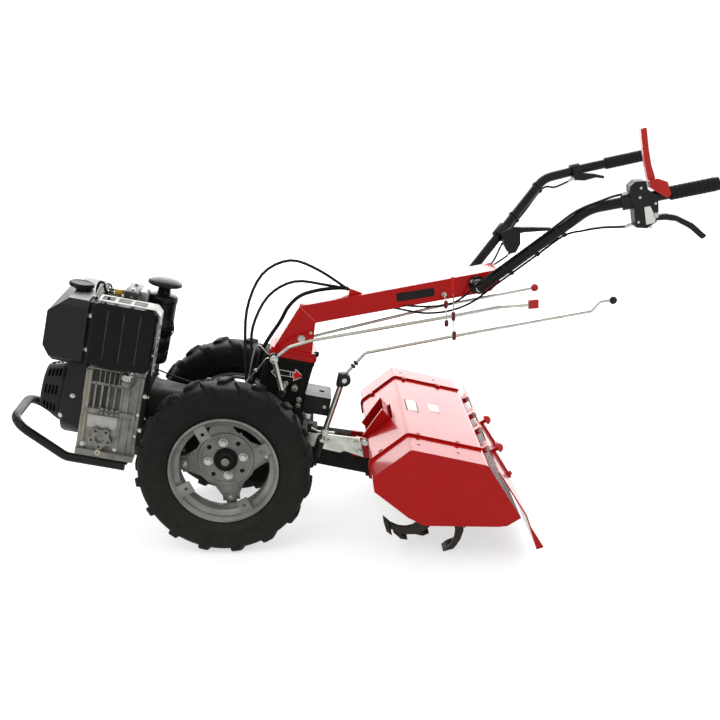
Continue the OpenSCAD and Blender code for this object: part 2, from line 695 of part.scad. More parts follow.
module tiller_drive() color("#1c1d1e") {
    slab(-45, 45) polygon(rounded([[drive_front, -16], [drive_front, 42], [tiller_front, 38],
        [tiller_front, -20]], 4));
    along_x([drive_front, 0, 10], 14, 50);
    block([tiller_front - 10, -52, -26], [tiller_front, 52, 44]);
}

// Underside of the hood's top sheet
function hood_under(x) =
    let (a = hood_line[2], b = hood_line[3])
    a.y + (x - a.x)*(b.y - a.y)/(b.x - a.x) - sheet*norm(b - a)/(b.x - a.x);

// Red case: open socket, cheeks for the hitch plates, leg, gear cover and rotor bearing
module tiller_case() color("#ab1f1c") difference() {
    x0 = tiller_front;
    z0 = rotor_z;
    union() {
        slab(-leg_y, leg_y) polygon(rounded([[x0, z0 - 50], [x0, z0 + 90], [x0 + 14, z0 + 76],
            [x0 + 34, z0 + 40], [x0 + 64, z0 + 24], [x0 + 72, z0 - 50]], 5));
        slab(-leg_y, leg_y) polygon([[x0 - 46, z0 + 90], [x0 - 5, z0 + 185], [x0 + 37, z0 + 153],
            [x0 + 6, z0 + 55]]);
        block([x0 - 70, -cheek_y, z0 + 26], [x0 + 12, -cheek_y + cheek_t, z0 + 88]);
        block([x0 - 70, cheek_y - cheek_t, z0 + 16], [x0 + 12, cheek_y, z0 + 50]);
        block([x0, -cheek_y, z0], [x0 + 12, 0, z0 + 88]);
        block([x0, -10, z0], [x0 + 12, cheek_y, z0 + 50]);
        slab(-34, 34) polygon([[x0 + 58, z0 - 50], [x0 + 58, z0 + 30], [x0 + 108, z0 + 50],
            [x0 + 108, hood_under(x0 + 108)], [x0 + 248, hood_under(x0 + 248)], [x0 + 248, z0 + 40],
                [x0 + 228, z0 - 60]]);
        along_y([rotor_x, -40, rotor_z], 80, 64);
        along_y([rotor_x - 88, -44, rotor_z + 12], 88, 42);
    }
    slab(-leg_y + 8, leg_y - 8) polygon([[x0 - 56, z0 + 92], [x0 - 12, z0 + 194], [x0 + 28, z0 + 152],
        [x0, z0 + 66]]);
    along_y([rotor_x, -41, rotor_z], 82, rotor_d/2 + run);
}

module tiller_hood() color("#b3201d") difference() {
    w = hood_mid_w/2;
    lip = [for (i = [0:3]) hood_line[i]];
    union() {
        slab(-w, w) polygon(band(eased(hood_line, hood_bend), -sheet));
        both_sides() slab(w - sheet, w) polygon(band(eased(lip, hood_bend), hood_lip));
        for (y = hinge_ys) hinge_lug(y);
    }
    block([tiller_front - 72, -leg_y - 6, rotor_z + 20], [tiller_front + 38, leg_y + 6, rotor_z + 166]);
    block([tiller_front - 72, -cheek_y - 6, rotor_z + 20], [tiller_front, cheek_y + 6, rotor_z + 92]);
}

// Lug with a pin to its right that carries the flap
module hinge_lug(y) {
    root = hinge - hood_out*(hinge_h + 0.5);
    slab(y - 10, y + 10)
        polygon([root - hood_rear*10, hinge - hood_rear*8, hinge + hood_rear*8, root + hood_rear*8]);
    along_y([hinge.x, y - 10, hinge.y], 20, 8);
    along_y([hinge.x, y, hinge.y], 44, pin_r);
}

// Extension of the hood with its end plate and two pairs of holes in the top
module hood_side(s) color("#b3201d") mirror([0, s < 0 ? 1 : 0, 0]) {
    y0 = hood_mid_w/2;
    y1 = hood_w/2;
    difference() {
        union() {
            slab(y0, y1) polygon(band(eased(hood_line, hood_bend), -sheet));
            slab(y1 - sheet, y1) polygon(concat(eased(hood_line, hood_bend), hood_skirt));
        }
        for (x = [hood_line[2].x + 27, hood_line[3].x - 82]) for (t = [0.2, 0.55])
            along_z([x, y0 + (y1 - y0)*t, hood_line[3].y - 30], 60, 5);
    }
}
module hood_side_right() hood_side(1);
module hood_side_left() hood_side(-1);

// Wheels

// Tyre body with chevron lugs, alternating left and right of the tread's middle
module tyre() color("#1a1b1c") {
    w = tyre_w/2;
    c = wheel_r - lug_h;
    b = rim_d/2 - 9;
    rotate([90, 0, 0]) rotate_extrude()
        polygon([[b, -44], [rim_d/2 + 2, -44], [b + 26, -w + 8], [b + 52, -w + 3], [c - 18, -w + 6],
            [c - 4, -w + 20], [c, -w + 40], [c, w - 40], [c - 4, w - 20], [c - 18, w - 6],
            [b + 52, w - 3], [b + 26, w - 8], [rim_d/2 + 2, 44], [b, 44]]);
    intersection() {
        rotate([90, 0, 0]) rotate_extrude() polygon([[c - 26, -w], [wheel_r - 9, -w], [wheel_r, -w + 14],
            [wheel_r, w - 14], [wheel_r - 9, w], [c - 26, w]]);
        for (i = [0:lug_count - 1]) for (s = [0, 1]) rotate([0, 360*(i + s/2)/lug_count, 0])
            mirror([0, s, 0]) translate([c - 25, 0, 0]) rotate([0, 90, 0]) linear_extrude(lug_h + 40)
                polygon([[-13, -4], [9, -4], [38, w + 1], [10, w + 1]]);
    }
}

module rim() color("#a4a7a9") {
    w = rim_w/2;
    r = rim_d/2;
    b = r - 9;
    rotate([90, 0, 0]) rotate_extrude()
        polygon([[r, -w], [r, -44], [b, -44], [b, -30], [b - 14, -22], [b - 14, 22], [b, 30], [b, 44],
            [r, 44], [r, w], [r - 6, w], [b - 5, 42], [b - 5, 33], [b - 19, 25], [b - 19, -25],
            [b - 5, -33], [b - 5, -42], [r - 6, -w]]);
}

// Puts a wheel piece, drawn with its outside to +y, on its side of the axle
module on_axle(s) translate([0, s*track/2, 0]) mirror([0, s < 0 ? 1 : 0, 0]) children();

module tyre_right() on_axle(1) tyre();
module tyre_left() on_axle(-1) tyre();
module rim_right() on_axle(1) rim_assembly();
module rim_left() on_axle(-1) rim_assembly();

// Rim with its outer tabs and inner clips
module rim_assembly() color("#a4a7a9") {
    rim();
    r = rim_d/2;
    w = rim_w/2;
    difference() {
        for (i = [0:3]) rotate([0, 90*i - tab_turn, 0]) block([tab_pcd/2 - 19, w - 14, -18],
            [r - 10, w - 8, 18]);
        for (i = [0:3]) rotate([0, 90*i - tab_turn, 0]) along_y([tab_pcd/2, w - 20, 0], 20, tab_hole_d/2);
    }
    for (i = [0:3]) rotate([0, 90*i - ear_turn, 0]) block([r - 48.5, -w + 6, -16], [r - 11, -w + 12, 16]);
}

// Wheel disc with a raised ring, four ears bolted behind the inner clips
module wheel_disc() color("#8f9294") {
    y0 = -rim_w/2;
    slab(y0, y0 + 6) difference() {
        union() {
            circle(92);
            for (i = [0:3]) rotate(ear_turn - 90*i) translate([60, -26]) square([rim_d/2 - 88.5, 52]);
        }
        circle(30);
        for (i = [0:3]) rotate(ear_turn + 45 - 90*i) translate([62, 0]) circle(7);
    }
    slab(y0 + 6, y0 + 10) difference() {
        circle(84);
        circle(74);
    }
}
module wheel_disc_right() on_axle(1) wheel_disc();
module wheel_disc_left() on_axle(-1) wheel_disc();

// Hub flange with its shaft and centre boss
module hub() color("#1d1e1f") {
    y0 = -rim_w/2;
    shaft_end = 61 - track/2;
    along_y([0, y0 - 12, 0], 12, 78);
    along_y([0, y0 - 1, 0], 22, 30);
    along_y([0, shaft_end, 0], y0 - shaft_end, axle_d/2);
    along_y([0, y0 + 20, 0], 12, 15, $fn = 6);
}
module hub_right() on_axle(1) hub();
module hub_left() on_axle(-1) hub();

// Rotor

// Edges of a sickle blade from its root, s = 0, to its tip, s = 1
function blade_half(s) = 20 - 4*s;
function blade_edge(s, side) =
    let (r = blade_foot + s*(tine_r - blade_foot))
    polar(r, -blade_sweep*s*s + side*asin(blade_half(s)/r));
function blade(s0, s1, n) =
    concat([for (k = [0:n]) blade_edge(s0 + (s1 - s0)*k/n, 1)], [for (k = [n:-1:0])
        blade_edge(s0 + (s1 - s0)*k/n, -1)]);

// Sickle tine along +x with its foot turned to +y
module tine() {
    slab(-blade_t/2, blade_t/2) polygon(blade(0, 1, 8));
    slab(-blade_t/2, foot_w) polygon(blade(0.93, 1, 1));
}

module tine_rotor() color("#2b2422") translate([rotor_x, 0, rotor_z])
    rotate([0, 90 + tip_angle - pitch, 0]) {
    along_y([0, -hood_w/2 + 70, 0], hood_w - 140, rotor_d/2);
    for (s = [0, 1]) mirror([0, s, 0]) for (k = [0:2]) {
        y = disc_first + disc_step*k;
        along_y([0, y - 6, 0], 12, disc_r);
        for (i = [0:3]) rotate([0, 90*i + 30*k + 20*s, 0]) mirror([0, i % 2, 0])
            translate([0, (i % 2 == 0 ? y : -y) + 10, 0]) tine();
    }
}

// Rear flap

module rear_flap() color("#b3201d") {
    w = hood_w/2 - 2;
    line = [hinge + hood_rear*14, flap_knee, flap_end];
    slab(-w, w) polygon(band(eased(line, 10), sheet));
    both_sides() slab(w - sheet, w) polygon([flap_knee*0.85 + flap_end*0.15, flap_end,
        flap_end + normal2(flap_knee, flap_end)*22]);
    for (y = hinge_ys) difference() {
        union() {
            along_y([hinge.x, y + 11, hinge.y], 28, 8);
            slab(y + 11, y + 39)
                polygon([hinge - hood_out*4, hinge + hood_out*4, hinge + hood_rear*18 + hood_out*sheet,
                    hinge + hood_rear*18]);
        }
        along_y([hinge.x, y + 10, hinge.y], 30, pin_r + run);
    }
}

// Mushroom knobs on the flap, each with a flat latch bar below it
module flap_knobs() color("#c5261f") for (y = [-150, 100]) {
    p = hinge + hood_rear*52 + hood_out*sheet;
    aimed([p.x, y, p.y], [hood_out.x, 0, hood_out.y]) {
        rotate_extrude() polygon([[0, 0], [6, 0], [6, 15], [16, 17], [16, 22], [12, 30], [6, 34], [0, 35]]);
        block([-4, -4, 0], [104, 4, 7]);
        translate([92, 0, 0]) cylinder(h = 14, r = 7);
    }
}

parked() crankcase();
parked() cylinder_head();
parked() fan_shroud();
parked() recoil_cover();
parked() fuel_tank();
parked() fuel_cap();
parked() muffler();
parked() muffler_guard();
parked() air_filter();
parked() dipstick();
parked() front_bumper();
parked() clutch_housing();
parked() gearbox();
parked() column_base();
parked() arm_socket();
parked() handlebar_arm();
parked() handlebar_clamp();
parked() handlebar_left();
parked() handlebar_right();
parked() grip_left();
parked() grip_right();
parked() control_housing();
parked() safety_lever();
parked() clutch_lever();
parked() right_levers();
parked() speed_rod();
parked() reverse_rod();
parked() drive_linkage();
parked() control_knobs();
parked() rod_guides();
parked() control_cables();
parked() tow_bracket();
parked() hitch_plates();
parked() tiller_drive();
parked() tiller_case();
parked() tiller_hood();
parked() hood_side_left();
parked() hood_side_right();
parked() tyre_left();
parked() tyre_right();
parked() rim_left();
parked() rim_right();
parked() wheel_disc_left();
parked() wheel_disc_right();
parked() hub_left();
parked() hub_right();
parked() tine_rotor();
parked() rear_flap();
parked() flap_knobs();
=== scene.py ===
"""Dressed scene of a two-wheel walking tractor with a diesel engine and a rear rotary tiller.

Pieces are drawn in the machine frame, in millimetres: axle centre at the origin, x to the rear,
y to the right and z up. Machine.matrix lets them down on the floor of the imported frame.
"""
import json
import logging
import math
from dataclasses import dataclass, field
from enum import Enum

import bmesh
import bpy
from mathutils import Matrix, Vector


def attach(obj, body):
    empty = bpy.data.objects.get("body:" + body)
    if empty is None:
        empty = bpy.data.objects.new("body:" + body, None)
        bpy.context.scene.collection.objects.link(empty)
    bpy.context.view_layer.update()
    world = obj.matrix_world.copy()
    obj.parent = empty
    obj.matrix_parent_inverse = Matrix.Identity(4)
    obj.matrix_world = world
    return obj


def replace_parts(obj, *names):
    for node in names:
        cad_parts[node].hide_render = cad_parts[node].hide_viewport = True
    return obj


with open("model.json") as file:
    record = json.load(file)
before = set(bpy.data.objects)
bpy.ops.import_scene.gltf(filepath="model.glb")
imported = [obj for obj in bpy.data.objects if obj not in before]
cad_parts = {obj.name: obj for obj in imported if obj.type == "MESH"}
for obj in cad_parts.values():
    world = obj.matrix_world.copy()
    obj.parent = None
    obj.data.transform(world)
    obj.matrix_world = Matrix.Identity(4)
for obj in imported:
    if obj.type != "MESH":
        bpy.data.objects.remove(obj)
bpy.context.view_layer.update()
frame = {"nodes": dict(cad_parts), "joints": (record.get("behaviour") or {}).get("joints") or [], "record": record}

log = logging.getLogger("tractor")

Colour = tuple[float, float, float]
Point = tuple[float, float, float] | Vector
Outline = list[tuple[float, float]]

MM = 0.001
GRAIN_SHARE = 0.7
DUST_TONE = (0.30, 0.27, 0.22, 1.0)
TONE_EDGES = (0.35, 0.65)
GLOSS_EDGES = (0.3, 0.7)
BUMP_STRENGTH = 0.6
WHITE = (1.0, 1.0, 1.0, 1.0)

# Directions of the machine frame
UP, DOWN = (0, 0, 1), (0, 0, -1)
LEFT, RIGHT = (0, -1, 0), (0, 1, 0)
REAR, FRONT = (1, 0, 0), (-1, 0, 0)

# Bolt proportions as shares of the thread diameter
WASHER_R = 1.15
WASHER_SINK = 0.15
WASHER_TOP = 0.18
HEX_R = 0.92
HEX_EDGE = 0.09
HEX_LIFT = 0.15
THREAD_R = 0.5
THREAD_LIFT = 0.24

# Mesh tolerances in millimetres, and steps of a rounded corner
TINY = 1e-6
ON_AXIS = 1e-4
MERGE = 1e-3
CORNER_STEPS = 8


class Body(str, Enum):
    """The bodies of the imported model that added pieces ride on."""

    CHASSIS = "chassis"
    WHEEL_LEFT = "wheel_left"
    WHEEL_RIGHT = "wheel_right"
    ROTOR = "rotor"


@dataclass(frozen=True)
class Machine:
    """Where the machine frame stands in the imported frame."""

    axle: Vector
    pitch: float
    rotor: tuple[float, float] = (632.0, 20.0)

    @classmethod
    def from_joints(cls, joints: list[dict]) -> "Machine":
        """Reads the stance from the wheel and rotor joints.

        Args:
            joints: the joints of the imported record.

        Returns:
            The machine frame that the CAD model was parked with.
        """
        place = {j["name"]: Vector(j["pos_m"]) for j in joints}
        axle = place["wheel_left_spin"].copy()
        axle.y = 0.0
        reach = place["rotor_spin"] - axle
        level = math.atan2(cls.rotor[1], cls.rotor[0])
        return cls(axle, level - math.atan2(reach.z, reach.x))

    @property
    def matrix(self) -> Matrix:
        """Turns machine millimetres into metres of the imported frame."""
        return Matrix.Translation(self.axle) @ Matrix.Rotation(self.pitch, 4, "Y") @ Matrix.Scale(MM, 4)


# Shared shader effects

def new_group(name: str, inputs: list[tuple[str, str, object]], outputs: list[tuple[str, str]]):
    """Starts a shader node group.

    Args:
        name: name of the group.
        inputs: socket name, socket type and default of each input.
        outputs: socket name and socket type of each output.

    Returns:
        The node tree with its group input and group output nodes.
    """
    tree = bpy.data.node_groups.new(name, "ShaderNodeTree")
    for label, kind, default in inputs:
        socket = tree.interface.new_socket(label, in_out="INPUT", socket_type=kind)
        if default is not None:
            socket.default_value = default
    for label, kind in outputs:
        tree.interface.new_socket(label, in_out="OUTPUT", socket_type=kind)
    return tree, tree.nodes.new("NodeGroupInput"), tree.nodes.new("NodeGroupOutput")


def add_node(tree: bpy.types.NodeTree, kind: str, values: dict | None = None, **settings) -> bpy.types.Node:
    """Adds a shader node.

    Args:
        tree: tree that takes the node.
        kind: its type without the ShaderNode prefix.
        values: defaults of its inputs, by name or index.
        settings: properties of the node.

    Returns:
        The new node.
    """
    made = tree.nodes.new(f"ShaderNode{kind}")
    for key, value in settings.items():
        setattr(made, key, value)
    for key, value in (values or {}).items():
        made.inputs[key].default_value = value
    return made


def join(tree: bpy.types.NodeTree, *wires: tuple) -> None:
    """Links nodes; each wire gives a node and its output, then a node and its input."""
    for source, leaving, sink, entering in wires:
        tree.links.new(source.outputs[leaving], sink.inputs[entering])


def grain_group() -> bpy.types.NodeTree:
    """Makes the group of soft blotches and fine grain that every finish uses.

    Returns:
        The node group, with a Blotch mask and a Height.
    """
    tree, source, sink = new_group("surface_grain", [("Vector", "NodeSocketVector", None),
        ("Blotch Scale", "NodeSocketFloat", 12.0), ("Grain Scale", "NodeSocketFloat", 900.0)],
        [("Blotch", "NodeSocketFloat"), ("Height", "NodeSocketFloat")])
    blotch = add_node(tree, "TexNoise", {"Detail": 5.0})
    grain = add_node(tree, "TexNoise", {"Detail": 2.0})
    mix = add_node(tree, "Mix", {"Factor": GRAIN_SHARE})
    join(tree, (source, "Vector", blotch, "Vector"), (source, "Vector", grain, "Vector"),
        (source, "Blotch Scale", blotch, "Scale"), (source, "Grain Scale", grain, "Scale"),
        (blotch, "Fac", mix, "A"), (grain, "Fac", mix, "B"), (blotch, "Fac", sink, "Blotch"),
        (mix, "Result", sink, "Height"))
    return tree


def dust_group() -> bpy.types.NodeTree:
    """Makes the group of dry dust that thickens towards the ground.

    Returns:
        The node group, which mixes dust into a colour.
    """
    tree, source, sink = new_group("settled_dust", [("Vector", "NodeSocketVector", None),
        ("Color", "NodeSocketColor", None), ("Dust", "NodeSocketColor", DUST_TONE),
        ("Amount", "NodeSocketFloat", 0.1), ("Top", "NodeSocketFloat", 0.5)],
        [("Color", "NodeSocketColor")])
    split = add_node(tree, "SeparateXYZ")
    fade = add_node(tree, "MapRange", {"To Min": 1.0, "To Max": 0.0})
    noise = add_node(tree, "TexNoise", {"Scale": 38.0, "Detail": 6.0})
    patch = add_node(tree, "Math", operation="MULTIPLY")
    share = add_node(tree, "Math", operation="MULTIPLY")
    mix = add_node(tree, "Mix", data_type="RGBA")
    join(tree, (source, "Vector", split, "Vector"), (source, "Vector", noise, "Vector"),
        (split, "Z", fade, "Value"), (source, "Top", fade, "From Max"), (fade, "Result", patch, 0),
        (noise, "Fac", patch, 1), (patch, "Value", share, 0), (source, "Amount", share, 1),
        (share, "Value", mix, "Factor"), (source, "Color", mix, "A"), (source, "Dust", mix, "B"),
        (mix, "Result", sink, "Color"))
    return tree


@dataclass(frozen=True)
class Finish:
    """One procedural surface: two tones in soft blotches, gloss, grain and dust.

    Roughness runs from rough[0] in the dark blotches to rough[1] in the light ones. The texture is
    the scale of the blotches and of the grain, in features per metre, and the grain's depth in
    millimetres.
    """

    name: str
    tone: Colour
    tint: Colour
    rough: tuple[float, float]
    texture: tuple[float, float, float]
    metallic: float = 0.0
    ior: float = 1.5
    coat: float = 0.0
    coat_ior: float = 1.5
    coat_rough: float = 0.08
    dust: float = 0.0
    dust_top: float = 0.5

    def material(self) -> bpy.types.Material:
        """Builds the material once and returns it on later calls."""
        if self.name in MATERIALS:
            return MATERIALS[self.name]
        made = bpy.data.materials.new(f"{self.name}_finish")
        MATERIALS[self.name] = made
        made.use_nodes = True
        tree = made.node_tree
        shader = tree.nodes["Principled BSDF"]
        for key, value in (("Metallic", self.metallic), ("IOR", self.ior), ("Coat Weight", self.coat),
                ("Coat IOR", self.coat_ior), ("Coat Roughness", self.coat_rough)):
            shader.inputs[key].default_value = value
        blotch_scale, grain_scale, depth = self.texture
        place = add_node(tree, "TexCoord")
        grain = add_node(tree, "Group", {"Blotch Scale": blotch_scale, "Grain Scale": grain_scale},
            node_tree=GROUPS["grain"])
        dust = add_node(tree, "Group", {"Amount": self.dust, "Top": self.dust_top},
            node_tree=GROUPS["dust"])
        tones = add_node(tree, "Mix", {"A": (*self.tone, 1.0), "B": (*self.tint, 1.0)}, data_type="RGBA")
        spread = add_node(tree, "MapRange", {"From Min": TONE_EDGES[0], "From Max": TONE_EDGES[1]})
        gloss = add_node(tree, "MapRange", {"From Min": GLOSS_EDGES[0], "From Max": GLOSS_EDGES[1],
            "To Min": self.rough[0], "To Max": self.rough[1]})
        bump = add_node(tree, "Bump", {"Strength": BUMP_STRENGTH, "Distance": depth*MM})
        join(tree, (place, "Object", grain, "Vector"), (place, "Object", dust, "Vector"),
            (grain, "Blotch", spread, "Value"), (spread, "Result", tones, "Factor"),
            (tones, "Result", dust, "Color"), (dust, "Color", shader, "Base Color"),
            (grain, "Blotch", gloss, "Value"), (gloss, "Result", shader, "Roughness"),
            (grain, "Height", bump, "Height"), (bump, "Normal", shader, "Normal"))
        return made


RED_PAINT = Finish("red_paint", (0.405, 0.0045, 0.0037), (0.372, 0.0042, 0.0034), (0.24, 0.32),
    (7.0, 420.0, 0.05), ior=1.14, coat=0.7, coat_ior=1.22, coat_rough=0.06, dust=0.015)
BLACK_PAINT = Finish("black_paint", (0.0045, 0.0045, 0.0042), (0.008, 0.0077, 0.007), (0.26, 0.40),
    (14.0, 700.0, 0.06), ior=1.24, dust=0.06)
CAST_GREY = Finish("cast_grey", (0.215, 0.210, 0.188), (0.140, 0.138, 0.127), (0.40, 0.58),
    (34.0, 1500.0, 0.22), metallic=0.45, dust=0.10)
CAST_DARK = Finish("cast_dark", (0.0052, 0.0050, 0.0046), (0.0085, 0.0081, 0.0075), (0.46, 0.62),
    (26.0, 900.0, 0.25), ior=1.17, dust=0.10)
BLACK_PLASTIC = Finish("black_plastic", (0.0085, 0.0083, 0.0088), (0.012, 0.0117, 0.012), (0.40, 0.54),
    (18.0, 2600.0, 0.12), ior=1.26, dust=0.05)
RED_PLASTIC = Finish("red_plastic", (0.43, 0.017, 0.012), (0.38, 0.013, 0.010), (0.22, 0.34),
    (22.0, 1300.0, 0.05), ior=1.25, coat=0.4, coat_ior=1.25)
YELLOW_PLASTIC = Finish("yellow_plastic", (0.80, 0.47, 0.10), (0.72, 0.40, 0.08), (0.3, 0.42),
    (40.0, 1300.0, 0.05), ior=1.3, coat=0.2)
ZINC = Finish("zinc", (0.46, 0.48, 0.445), (0.37, 0.38, 0.33), (0.20, 0.36), (46.0, 1800.0, 0.05),
    metallic=1.0, dust=0.05)
RIM_PAINT = Finish("rim_paint", (0.225, 0.228, 0.211), (0.135, 0.138, 0.130), (0.34, 0.46),
    (16.0, 2200.0, 0.06), metallic=0.25, ior=1.3, coat=0.2, dust=0.12)
RUBBER = Finish("rubber", (0.006, 0.006, 0.006), (0.009, 0.009, 0.0088), (0.55, 0.7), (24.0, 2000.0, 0.12),
    ior=1.24)
TYRE = Finish("tyre", (0.0048, 0.0049, 0.0042), (0.0085, 0.0083, 0.0072), (0.50, 0.68), (20.0, 1400.0, 0.3),
    ior=1.2, dust=0.08)
SOOT_STEEL = Finish("soot_steel", (0.0034, 0.0035, 0.0029), (0.0055, 0.0054, 0.0046), (0.32, 0.48),
    (30.0, 1800.0, 0.12), ior=1.2)
TINE_STEEL = Finish("tine_steel", (0.010, 0.009, 0.0083), (0.020, 0.0175, 0.0155), (0.34, 0.52),
    (40.0, 900.0, 0.2), metallic=0.25, ior=1.25, dust=0.2, dust_top=0.2)
BARE_PLATE = Finish("bare_plate", (0.36, 0.355, 0.335), (0.30, 0.295, 0.28), (0.34, 0.46),
    (60.0, 2400.0, 0.03), metallic=0.7)
WHITE_SIGN = Finish("white_sign", (0.70, 0.69, 0.67), (0.62, 0.61, 0.59), (0.4, 0.5), (30.0, 900.0, 0.02),
    ior=1.3)
CREAM_PLUG = Finish("cream_plug", (0.52, 0.50, 0.36), (0.44, 0.42, 0.30), (0.4, 0.5), (60.0, 900.0, 0.03),
    ior=1.3)
# Painted shade: this tone and the half tone after it are laid as plates in the crankcase's hollows, the darker one
# where the shade is deeper; this one also colours the muffler seams, where it is a painted highlight.
CASE_SHADE = Finish("case_shade", (0.036, 0.038, 0.031), (0.024, 0.025, 0.021), (0.5, 0.66),
    (30.0, 1500.0, 0.2), ior=1.25)
PAINTED_HALF_SHADE = Finish("painted_half_shade", (0.085, 0.084, 0.075), (0.060, 0.060, 0.054), (0.5, 0.66),
    (30.0, 1500.0, 0.2), ior=1.25)
CASE_BAND = Finish("case_band", (0.29, 0.265, 0.215), (0.21, 0.195, 0.160), (0.36, 0.5),
    (24.0, 1400.0, 0.12), metallic=0.3, ior=1.3)
ROCKER_GREY = Finish("rocker_grey", (0.050, 0.045, 0.047), (0.036, 0.033, 0.034), (0.28, 0.4),
    (30.0, 1600.0, 0.08), ior=1.3)
TANK_PAINT = Finish("tank_paint", (0.0022, 0.0021, 0.0024), (0.0036, 0.0035, 0.0038), (0.26, 0.34),
    (9.0, 700.0, 0.04), ior=1.32)
SIGN_RED = Finish("sign_red", (0.60, 0.014, 0.012), (0.56, 0.014, 0.012), (0.4, 0.5), (20.0, 900.0, 0.02),
    ior=1.2)
# Painted highlight: a paler red for the arm's weld bead, standing in for the light caught along the weld.
PAINTED_HIGHLIGHT_RED = Finish("painted_highlight_red", (0.55, 0.10, 0.085), (0.46, 0.07, 0.06), (0.3, 0.45), (90.0, 1500.0, 0.1),
    ior=1.3)
BEAD_PAINT = Finish("bead_paint", (0.13, 0.017, 0.018), (0.10, 0.014, 0.015), (0.35, 0.5),
    (60.0, 1200.0, 0.05), ior=1.25)
GUARD_STEEL = Finish("guard_steel", (0.25, 0.255, 0.24), (0.19, 0.195, 0.18), (0.4, 0.55),
    (24.0, 1500.0, 0.08), metallic=0.9, ior=1.4)
FINISHES = [RED_PAINT, BLACK_PAINT, CAST_GREY, CAST_DARK, BLACK_PLASTIC, RED_PLASTIC, YELLOW_PLASTIC, ZINC,
    RIM_PAINT, RUBBER, TYRE, SOOT_STEEL, TINE_STEEL]
GROUPS: dict[str, bpy.types.NodeTree] = {}
MATERIALS: dict[str, bpy.types.Material] = {}


# Mesh tools

